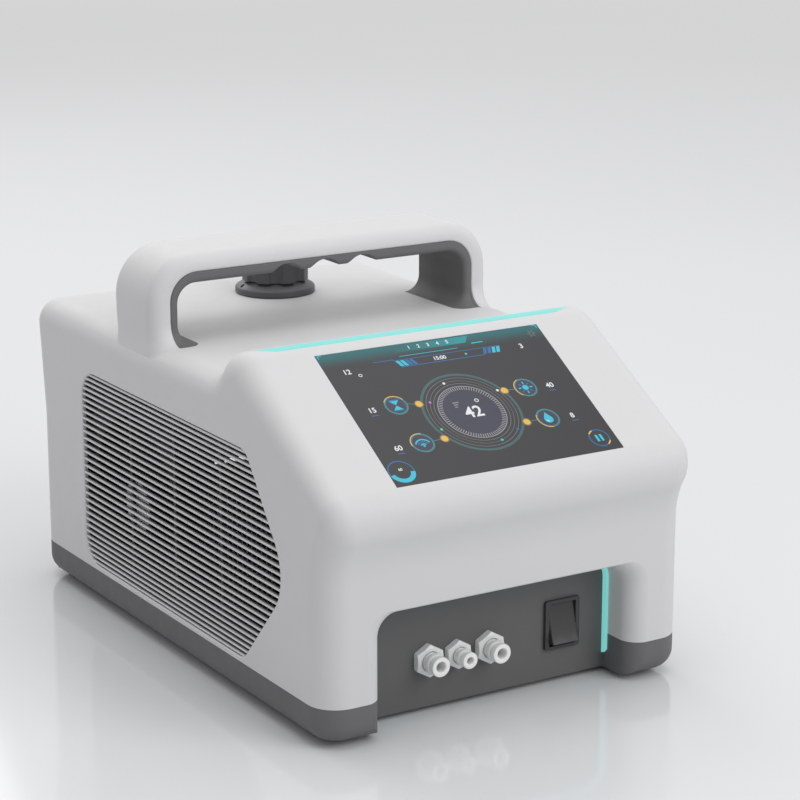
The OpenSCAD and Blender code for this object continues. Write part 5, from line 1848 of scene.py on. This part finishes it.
@dataclass
class FillerCap:
    """The dark cap with a fluted knob on a dished flange."""

    spot: tuple[float, float] = (20.0, 130.0)
    low: float = 191.5
    rim_h: float = 2.2
    flange_r: float = 26.5
    flange_t: float = 2.5
    knob_r: float = 22.3
    knob_h: float = 21.0
    lobes: int = 8
    flute_r: float = 6.0
    flute_place: float = 25.6
    flute_turn: float = 18.4
    skirt: float = 4.0
    plug_r: float = 19.95
    hole_turn: float = 177.0

    def build(self) -> Piece:
        """Makes flange and knob as one piece, with its plug below.

        Returns:
            The finished piece.
        """
        x, y = self.spot
        centre = (x, y, self.low)
        f, t, k = self.flange_r, self.flange_t, self.knob_r
        top = t + self.knob_h
        base = -self.rim_h
        rim = [(f - 1.6, 0), (f - 1.6, base), (f - 0.5, base), (f, base + 0.6),
               (f, t - 1.6), (f - 0.3, t - 0.9),
               (f - 0.9, t - 0.3)]
        dish = [(f - 2.4, t + 0.6), (f - 4.2, t + 1.9), (k - 3.0, t + 3.3), (k - 4, t + self.skirt)]
        plug = [(self.plug_r - 3, -1), (self.plug_r - 3, -12), (self.plug_r - 0.5, -12), (self.plug_r, -11.5),
                (self.plug_r, 0)]
        outline = [(0, -1), *plug, *rim, *dish, (0, t + self.skirt)]
        flange = Bench.turned("flange", outline, Axis.Z, centre, 96)
        hole = math.radians(self.hole_turn)
        Bench.cut(flange, Bench.rod(
            "tether_hole", 1.5, -3, 20, Axis.Z,
            (x + (f - 2.6) * math.cos(hole), y + (f - 2.6) * math.sin(hole), self.low), 24,
        ))
        foot = t + self.skirt
        profile = [(0, foot - 1), (k - 4, foot - 1), (k - 4, foot), (k, foot), (k, top - 2.2),
                   *[(k - 2.2 + a, top - 2.2 + b) for a, b in arc((0, 0), 2.2, 15, 90, 5)],
                   (k - 6.4, top), (k - 7, top - 0.5), (k - 7.2, top - 1.5), (0, top - 1.5)]
        knob = Bench.turned("knob", profile, Axis.Z, centre, 96)
        for i in range(self.lobes):
            a = math.tau * i / self.lobes + math.radians(self.flute_turn)
            spot = (x + self.flute_place * math.cos(a), y + self.flute_place * math.sin(a), self.low + foot)
            Bench.cut(knob, Bench.rod("flute", self.flute_r, -3, 40, Axis.Z, spot, 40))
        Bench.bevel(knob, 0.7, 3, 38)
        piece = Bench.combine(flange, knob, Join.UNION)
        piece.name = piece.data.name = "cap_knob"
        return Bench.finish(piece, Finish.CAP, "cap", "cap", ["filler_cap"])


# ---------------------------------------------------------------- display


class Tint(Enum):
    """The inks of the screen's picture."""

    WHITE = Ink("ink_white", (238, 240, 240))
    CYAN = Ink("ink_cyan", (52, 196, 222))
    BLUE = Ink("ink_blue", (46, 112, 168))
    TEAL = Ink("ink_teal", (66, 132, 138))
    TEAL_DIM = Ink("ink_teal_dim", (70, 102, 104))
    AMBER = Ink("ink_amber", (236, 190, 84))
    AMBER_DIM = Ink("ink_amber_dim", (150, 124, 74))
    GREY = Ink("ink_grey", (116, 118, 120))
    SILVER = Ink("ink_silver", (152, 152, 160))
    SLATE = Ink("ink_slate", (66, 66, 82))
    VIOLET = Ink("ink_violet", (190, 120, 210))
    GREEN = Ink("ink_green", (96, 208, 150))
    TEAL_PLATE = Ink("ink_plate", (34, 104, 108), (40, 150, 156), (-26, 26))


@dataclass
class Display:
    """The cover glass and the lit picture on it, drawn as thin closed shapes."""

    thick: float = 2.0
    dial: tuple[float, float] = (-2.4, -7.5)
    icons: tuple[tuple[float, float], ...] = ((-46.5, 6.3), (-45.3, -24.4), (41.2, 4.3), (42.1, -21.5))
    dots: tuple[tuple[float, float], ...] = ((-32.1, 4.6), (-30.3, -24.0), (26.4, 4.5), (27.0, -21.9))
    values: tuple[str, ...] = ("15", "60", "40", "8")
    gauge: tuple[float, float] = (-68.6, -42.5)
    button: tuple[float, float] = (65.9, -42.9)
    drawn: dict[Tint, list[Piece]] = field(default_factory=dict)

    def add(self, ink: Tint, piece: Piece) -> None:
        """Keeps a drawn shape with the others of its ink."""
        self.drawn.setdefault(ink, []).append(piece)

    def shape(self, ink: Tint, outline: Sequence[Point], level: int = 1) -> None:
        """Draws a filled outline."""
        self.add(ink, Bench.prism("shape", outline, Axis.Z, 0, 0.03 * level))

    def line(self, ink: Tint, a: Point, b: Point, width: float, level: int = 1) -> None:
        """Draws a straight line.

        Args:
            ink: its ink.
            a: one end.
            b: the other end.
            width: its width.
            level: how far it lies over the glass, in steps.
        """
        along = (Vector(b) - Vector(a)).normalized() * width / 2
        side = Vector((-along.y, along.x))
        corners = [Vector(a) + side, Vector(a) - side, Vector(b) - side, Vector(b) + side]
        self.shape(ink, [tuple(c) for c in corners], level)

    def ray(
        self, ink: Tint, spot: Point, turn: float, reach: tuple[float, float], width: float, level: int = 1
    ) -> None:
        """Draws a short line that points away from a spot.

        Args:
            ink: its ink.
            spot: the point that it points away from.
            turn: its direction, in radians.
            reach: how far its two ends are from the spot.
            width: its width.
            level: how far it lies over the glass, in steps.
        """
        out = Vector((math.cos(turn), math.sin(turn)))
        a, b = [Vector(spot) + out * r for r in reach]
        self.line(ink, a, b, width, level)

    def disc(self, ink: Tint, spot: Point, radius: float, level: int = 1) -> None:
        """Draws a filled circle."""
        self.shape(ink, arc(spot, radius, 0, 352, 44), level)

    def band(self, ink: Tint, spot: Point, inner: float, outer: float, start: float = 0, end: float = 360,
             level: int = 1) -> None:
        """Draws a ring or a part of one.

        Args:
            ink: its ink.
            spot: its centre.
            inner: its inner radius.
            outer: its outer radius.
            start: its first angle, in degrees.
            end: its last angle, in degrees.
            level: how far it lies over the glass, in steps.
        """
        h = 0.03 * level
        if end - start >= 360:
            profile = [(inner, 0), (outer, 0), (outer, h), (inner, h), (inner, 0)]
            self.add(ink, Bench.turned("ring", profile, Axis.Z, (*spot, 0), 96))
            return
        cuts = max(3, round((end - start) / 5))
        rings = [[(*p, 0), (*q, 0), (*q, h), (*p, h)] for p, q in
                 zip(arc(spot, inner, start, end, cuts), arc(spot, outer, start, end, cuts))]
        self.add(ink, Bench.loft("band", rings))

    def digits(self, ink: Tint, text: str, spot: Point, height: float, level: int = 3) -> None:
        """Draws plain numbers, centred on a spot.

        Args:
            ink: their ink.
            text: the numbers.
            spot: their middle.
            height: their height.
            level: how far they lie over the glass, in steps.
        """
        Bench.clear()
        bpy.ops.object.text_add()
        piece = bpy.context.object
        piece.data.body, piece.data.align_x, piece.data.align_y = text, "CENTER", "CENTER"
        lift = 0.015 * level * MM
        piece.data.size, piece.data.offset, piece.data.extrude = height * 1.38 * MM, 0.00002 * height, lift
        piece.location = (spot[0] * MM, spot[1] * MM, lift)
        bpy.ops.object.convert(target="MESH")
        Bench.outward(Bench.settle(piece, "digits"))
        self.add(ink, piece)

    def draw_dial(self) -> None:
        """Draws the dial in the middle."""
        c = self.dial
        self.band(Tint.TEAL_DIM, c, 29.6, 31.3)
        self.band(Tint.GREY, c, 27.6, 28.0)
        self.band(Tint.GREY, c, 25.2, 25.5)
        self.band(Tint.GREY, c, 22.9, 23.3)
        self.disc(Tint.SLATE, c, 18.0)
        self.band(Tint.SILVER, c, 20.5, 21.1)
        for i in range(80):
            self.ray(Tint.SILVER, c, math.tau * i / 80, (17.9, 20.2), 0.62, 2)
        marks = ((Tint.WHITE, 25.4, 104), (Tint.VIOLET, 25.4, 152), (Tint.GREEN, 27.8, 200),
                 (Tint.CYAN, 25.4, 285), (Tint.WHITE, 27.8, 28), (Tint.BLUE, 27.8, 318))
        for ink, radius, a in marks:
            spot = (c[0] + radius * math.cos(math.radians(a)), c[1] + radius * math.sin(math.radians(a)))
            self.disc(ink, spot, 0.9, 3)
        self.digits(Tint.WHITE, "42", (c[0] + 0.8, c[1] - 0.6), 8.6)
        self.band(Tint.WHITE, (c[0] + 7.2, c[1] + 8.0), 0.9, 1.4, level=3)
        for i, w in enumerate((4.2, 3.0, 1.8)):
            x, y = c[0] - 9, c[1] + 8.6 - 1.7 * i
            self.line(Tint.SILVER, (x, y), (x + w, y), 0.7, 3)

    def draw_icons(self) -> None:
        """Draws the four round icons with their links, dots and numbers."""
        for i, (spot, dot) in enumerate(zip(self.icons, self.dots)):
            self.band(Tint.TEAL, spot, 6.2, 7.4, level=1)
            self.band(Tint.AMBER, spot, 7.0, 7.5, 30 + 40 * i, 150 + 40 * i, 2)
            self.disc(Tint.SLATE, spot, 6.1)
            side = 1 if dot[0] > spot[0] else -1
            self.line(Tint.TEAL, (spot[0] + side * 7.5, spot[1]), (dot[0] - side * 2.4, dot[1]), 0.5)
            self.band(Tint.AMBER_DIM, dot, 2.1, 2.9)
            self.disc(Tint.AMBER, dot, 2.2, 2)
            label = (spot[0] - side * 16.5, spot[1] - 1.2)
            self.digits(Tint.WHITE, self.values[i], label, 3.8)
            self.line(Tint.BLUE, (label[0] - 2.2, label[1] - 4), (label[0] + 2.2, label[1] - 4), 0.6)
        x, y = self.icons[0]
        for s in (1, -1):
            cone = [(x - 3 * s, y + 3.6 * s), (x, y + 0.2 * s), (x + 3 * s, y + 3.6 * s)]
            self.shape(Tint.CYAN, cone[::s], 2)
            self.line(Tint.BLUE, (x - 3.4, y + 4.1 * s), (x + 3.4, y + 4.1 * s), 0.8, 2)
        x, y = self.icons[1]
        for k, r in enumerate((1.2, 2.9, 4.6)):
            self.band(Tint.CYAN if k != 1 else Tint.BLUE, (x, y - 2.6), r, r + 0.9, 25, 155, 2)
        self.disc(Tint.CYAN, (x, y - 2.6), 0.7, 2)
        x, y = self.icons[2]
        self.disc(Tint.CYAN, (x, y), 2.0, 2)
        for k in range(8):
            self.ray(Tint.BLUE if k % 2 else Tint.CYAN, (x, y), math.tau * k / 8, (2.8, 4.8), 0.8, 2)
        x, y = self.icons[3]
        drop = [(x + u, y - 1 + v) for u, v in arc((0, 0), 2.9, 145, 395, 16)]
        self.shape(Tint.CYAN, [*drop, (x, y + 4.6)], 2)
        self.band(Tint.WHITE, (x, y - 1), 1.5, 2.0, 190, 260, 3)

    def draw_header(self) -> None:
        """Draws the plate, the timer bar and the marks at the top."""
        self.shape(Tint.TEAL_PLATE, [(-25.6, 46.6), (22.6, 46.6), (26.6, 51.8), (-27.0, 51.8)])
        for i, n in enumerate("12345"):
            self.digits(Tint.WHITE, n, (-15.5 + 6.6 * i, 49.2), 2.7)
        self.line(Tint.CYAN, (-25, 43.2), (15, 43.2), 0.35)
        self.line(Tint.BLUE, (-44, 41.3), (-30, 41.3), 0.5)
        self.line(Tint.CYAN, (26, 45.4), (34, 45.4), 0.7)
        self.line(Tint.BLUE, (-30.8, 40.5), (43, 40.5), 0.4)
        self.line(Tint.BLUE, (-27.5, 34.8), (30, 34.8), 0.5)
        for side, u in ((1, -30.2), (-1, 43.4)):
            for k, ink in enumerate((Tint.CYAN, Tint.CYAN, Tint.BLUE, Tint.BLUE)):
                a = u + side * (0.6 + 3.1 * k)
                block = [(a, 40.0), (a + side * 2.3, 40.0), (a + side * 4.2, 35.4), (a + side * 1.9, 35.4)]
                self.shape(ink, block[::side], 2)
        self.digits(Tint.WHITE, "15:00", (-0.4, 37.5), 2.9)
        self.disc(Tint.CYAN, (18, 37.6), 0.8, 2)
        self.digits(Tint.WHITE, "12", (-63.5, 36.8), 3.8)
        self.band(Tint.WHITE, (-56.5, 33.0), 0.8, 1.2, level=2)
        self.digits(Tint.WHITE, "3", (57.0, 37.2), 3.8)
        for u in (-75.6, 75.6):
            self.line(Tint.CYAN, (u, 52.4), (u - math.copysign(2.6, u), 52.4), 0.5)
            self.line(Tint.CYAN, (u, 52.4), (u, 50.0), 0.5)
        self.band(Tint.GREY, (69.5, 46.2), 1.2, 1.7)
        for k in range(6):
            self.ray(Tint.GREY, (69.5, 46.2), math.tau * k / 6, (2.0, 2.9), 0.6)

    def draw_corners(self) -> None:
        """Draws the gauge at the lower left and the button at the lower right."""
        self.band(Tint.BLUE, self.gauge, 7.6, 8.3)
        self.band(Tint.CYAN, self.gauge, 5.4, 8.3, 195, 352, 2)
        self.digits(Tint.WHITE, "60", (self.gauge[0], self.gauge[1] + 1.6), 1.9)
        self.band(Tint.BLUE, self.button, 6.1, 6.8)
        for start in (110, 300):
            self.band(Tint.AMBER, self.button, 6.0, 6.9, start, start + 32, 2)
        x, y = self.button
        for u in (-1.5, 1.5):
            corners = ((-0.8, -2.6), (0.8, -2.6), (0.8, 2.6), (-0.8, 2.6))
            self.shape(Tint.CYAN, [(x + u + a, y + b) for a, b in corners])

    def glass(self) -> None:
        """Makes the cover glass, dark with a teal glow towards its top edge."""
        w, h = FORM.glass
        low, high = (-w / 2, -h / 2, -self.thick), (w / 2, h / 2, 0)
        glass = Bench.slab("cover_glass", low, high, 0.6, Axis.Z, 0.2, 3)
        place = FORM.slope_place()
        glass.data.transform(in_metres(place))
        s = Shader("lit_glass")
        up = place.to_3x3() @ Vector((0, 1, 0))
        zero = (place.translation - Vector((0, DRAWN_BACK, 0))).dot(up)
        along = s.node("ShaderNodeVectorMath", {"operation": "DOT_PRODUCT"}, {0: s.place(), 1: up}, "Value")
        rise = along - zero * MM
        glow = rise.ramp(0.0405, 0.0535)
        drift = s.noise(s.place(), 30, 2)
        base = s.mix(drift, linear(50, 50, 51), linear(54, 54, 55))
        s.feed("Emission Color", s.mix(glow, base, linear(30, 104, 108)))
        s.feed("Emission Strength", 1.0)
        s.feed("Base Color", (0.012, 0.012, 0.014, 1))
        s.feed("Roughness", 0.28)
        s.feed("Specular IOR Level", 0.24)
        Bench.finish(glass, s.material, "housing", "display", ["display_glass"])

    def build(self) -> None:
        """Makes the glass and the picture."""
        self.glass()
        self.draw_dial()
        self.draw_icons()
        self.draw_header()
        self.draw_corners()
        place = in_metres(FORM.slope_place())
        for ink, pieces in self.drawn.items():
            group = Bench.weld(f"screen_{ink.name.lower()}", pieces)
            group.data.transform(place)
            Bench.finish(group, ink.value.material(), "housing", "display")


# ---------------------------------------------------------------- studio


@dataclass
class Studio:
    """The camera at the photograph's angle, the pale floor and the soft lights."""

    spot: tuple[float, float, float] = (-772.645, -1316.563, 550.433)
    azimuth: float = -31.61
    elevation: float = 14.85
    lens: float = 113.9
    plain: float = 0.5
    shown: float = 0.86
    lamps: tuple[tuple[str, Point, float, float], ...] = (
        ("key", (0.9, -1.9, 1.45), 1.6, 21),
        ("top", (0.1, -0.05, 2.4), 2.2, 19),
        ("back", (-0.1, 1.7, 1.6), 1.6, 12),
    )

    def camera(self) -> None:
        """Makes the camera."""
        az, el = math.radians(self.azimuth), math.radians(self.elevation)
        back = Vector((math.sin(az) * math.cos(el), -math.cos(az) * math.cos(el), math.sin(el)))
        data = bpy.data.cameras.new("camera")
        data.lens, data.sensor_width = self.lens, 36.0
        data.clip_start, data.clip_end = 0.05, 100.0
        camera = bpy.data.objects.new("camera", data)
        bpy.context.scene.collection.objects.link(camera)
        camera.location = (Vector(self.spot) - Vector((0, DRAWN_BACK, 0))) * MM
        camera.rotation_mode = "QUATERNION"
        camera.rotation_quaternion = (-back).to_track_quat("-Z", "Y")
        bpy.context.scene.camera = camera

    def lamp(self, name: str, spot: Point, size: float, power: float) -> None:
        """Makes a square soft light that is aimed at the machine's middle.

        Args:
            name: the light's name.
            spot: where it stands, in metres.
            size: its edge, in metres.
            power: its power, in watts.
        """
        data = bpy.data.lights.new(name, "AREA")
        data.shape, data.size, data.energy = "SQUARE", size, power
        lamp = bpy.data.objects.new(name, data)
        bpy.context.scene.collection.objects.link(lamp)
        lamp.location = spot
        lamp.rotation_mode = "QUATERNION"
        lamp.rotation_quaternion = (Vector((0, 0, 0.1)) - Vector(spot)).to_track_quat("-Z", "Y")

    def seen(self, shader: Shader) -> Sock:
        """Returns 1 for rays that show the surroundings: camera, glossy and transmission rays.

        Args:
            shader: the shader that it is added to.

        Returns:
            1 for those rays and 0 for others.
        """
        rays = [shader.node("ShaderNodeLightPath", output=f"Is {kind} Ray") for kind in
                ("Camera", "Glossy", "Transmission")]
        return rays[0].maths("MAXIMUM", rays[1].maths("MAXIMUM", rays[2]))

    def world(self) -> None:
        """Makes the surroundings: white to look at, and a plain soft light."""
        world = bpy.data.worlds.new("surroundings")
        world.use_nodes = True
        bpy.context.scene.world = world
        shader = Shader(world.name, world)
        ground = shader.tree.nodes["Background"]
        ground.inputs["Color"].default_value = (1, 1, 1, 1)
        strength = self.seen(shader) * (self.shown - self.plain) + self.plain
        shader.tree.links.new(strength.socket, ground.inputs["Strength"])

    def floor(self) -> None:
        """Makes the pale floor, which keeps the machine's shadow and a faint reflection."""
        Bench.clear()
        bpy.ops.mesh.primitive_plane_add(size=40, location=(0, 0, 0))
        floor = Bench.settle(bpy.context.object, "floor")
        s = Shader("pale_floor")
        drift = s.noise(s.place(), 900, 2)
        s.feed("Base Color", s.mix(drift, linear(222, 223, 225), linear(228, 229, 231)))
        s.feed("Roughness", 0.1)
        s.feed("Specular IOR Level", 0.45)
        floor.data.materials.append(s.material)

    def build(self) -> None:
        """Sets up camera, lights, surroundings and floor."""
        bpy.context.scene.view_settings.view_transform = "Standard"
        self.camera()
        self.world()
        self.floor()
        for name, spot, size, power in self.lamps:
            self.lamp(name, spot, size, power)


# ---------------------------------------------------------------- nodes that stay as they are

KEPT: dict[str, Finish] = {
    "rear_panel": Finish.TRAY, "port_panel": Finish.PANEL, "lcd_module": Finish.SWITCH,
    "display_bracket": Finish.STEEL, "fitting_nuts": Finish.FITTING, "filler_neck": Finish.LINER,
    "cap_gasket": Finish.RUBBER, "water_tank": Finish.TANK, "level_sensor": Finish.FITTING,
    "tank_bracket": Finish.STEEL, "pump_motor": Finish.PUMP, "pump_volute": Finish.PUMP,
    "pump_impeller": Finish.FITTING, "air_pump": Finish.PUMP, "air_valve": Finish.STEEL,
    "cold_block": Finish.ALUMINIUM, "left_peltiers": Finish.CERAMIC, "right_peltiers": Finish.CERAMIC,
    "left_heat_sink": Finish.ALUMINIUM, "right_heat_sink": Finish.ALUMINIUM, "left_fan_frame": Finish.FAN,
    "right_fan_frame": Finish.FAN, "fan_screws": Finish.STEEL, "power_supply": Finish.STEEL,
    "control_board": Finish.BOARD,
    "chassis_plate": Finish.STEEL, "inlet_socket": Finish.SWITCH, "fuse_drawer": Finish.SWITCH,
    "rear_screws": Finish.STEEL, "suction_hose": Finish.HOSE,
    "delivery_hose": Finish.HOSE, "supply_hose": Finish.HOSE, "return_hose": Finish.HOSE,
    "air_hose": Finish.HOSE,
}


def dress_kept() -> None:
    """Gives each node that stays its finish."""
    for node, finish in KEPT.items():
        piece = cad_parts[node]
        piece.data.materials.clear()
        piece.data.materials.append(finish.build())


def main() -> None:
    """Builds the studio and the machine's sub-assemblies in order."""
    logging.basicConfig(level=logging.INFO, format="%(message)s")
    Studio().build()
    housing = Housing()
    housing.build()
    housing.strip()
    tray = BaseTray()
    tray.build()
    tray.screws()
    tray.rubber()
    HandleLiner().build()
    SideGrille().build()
    Fan().build()
    for name, x, tube in PORTS:
        PushFitting(name, x, tube).build()
    PowerSwitch().build()
    ArchLight().build()
    FillerCap().build()
    Display().build()
    dress_kept()


if __name__ == "__main__":
    main()
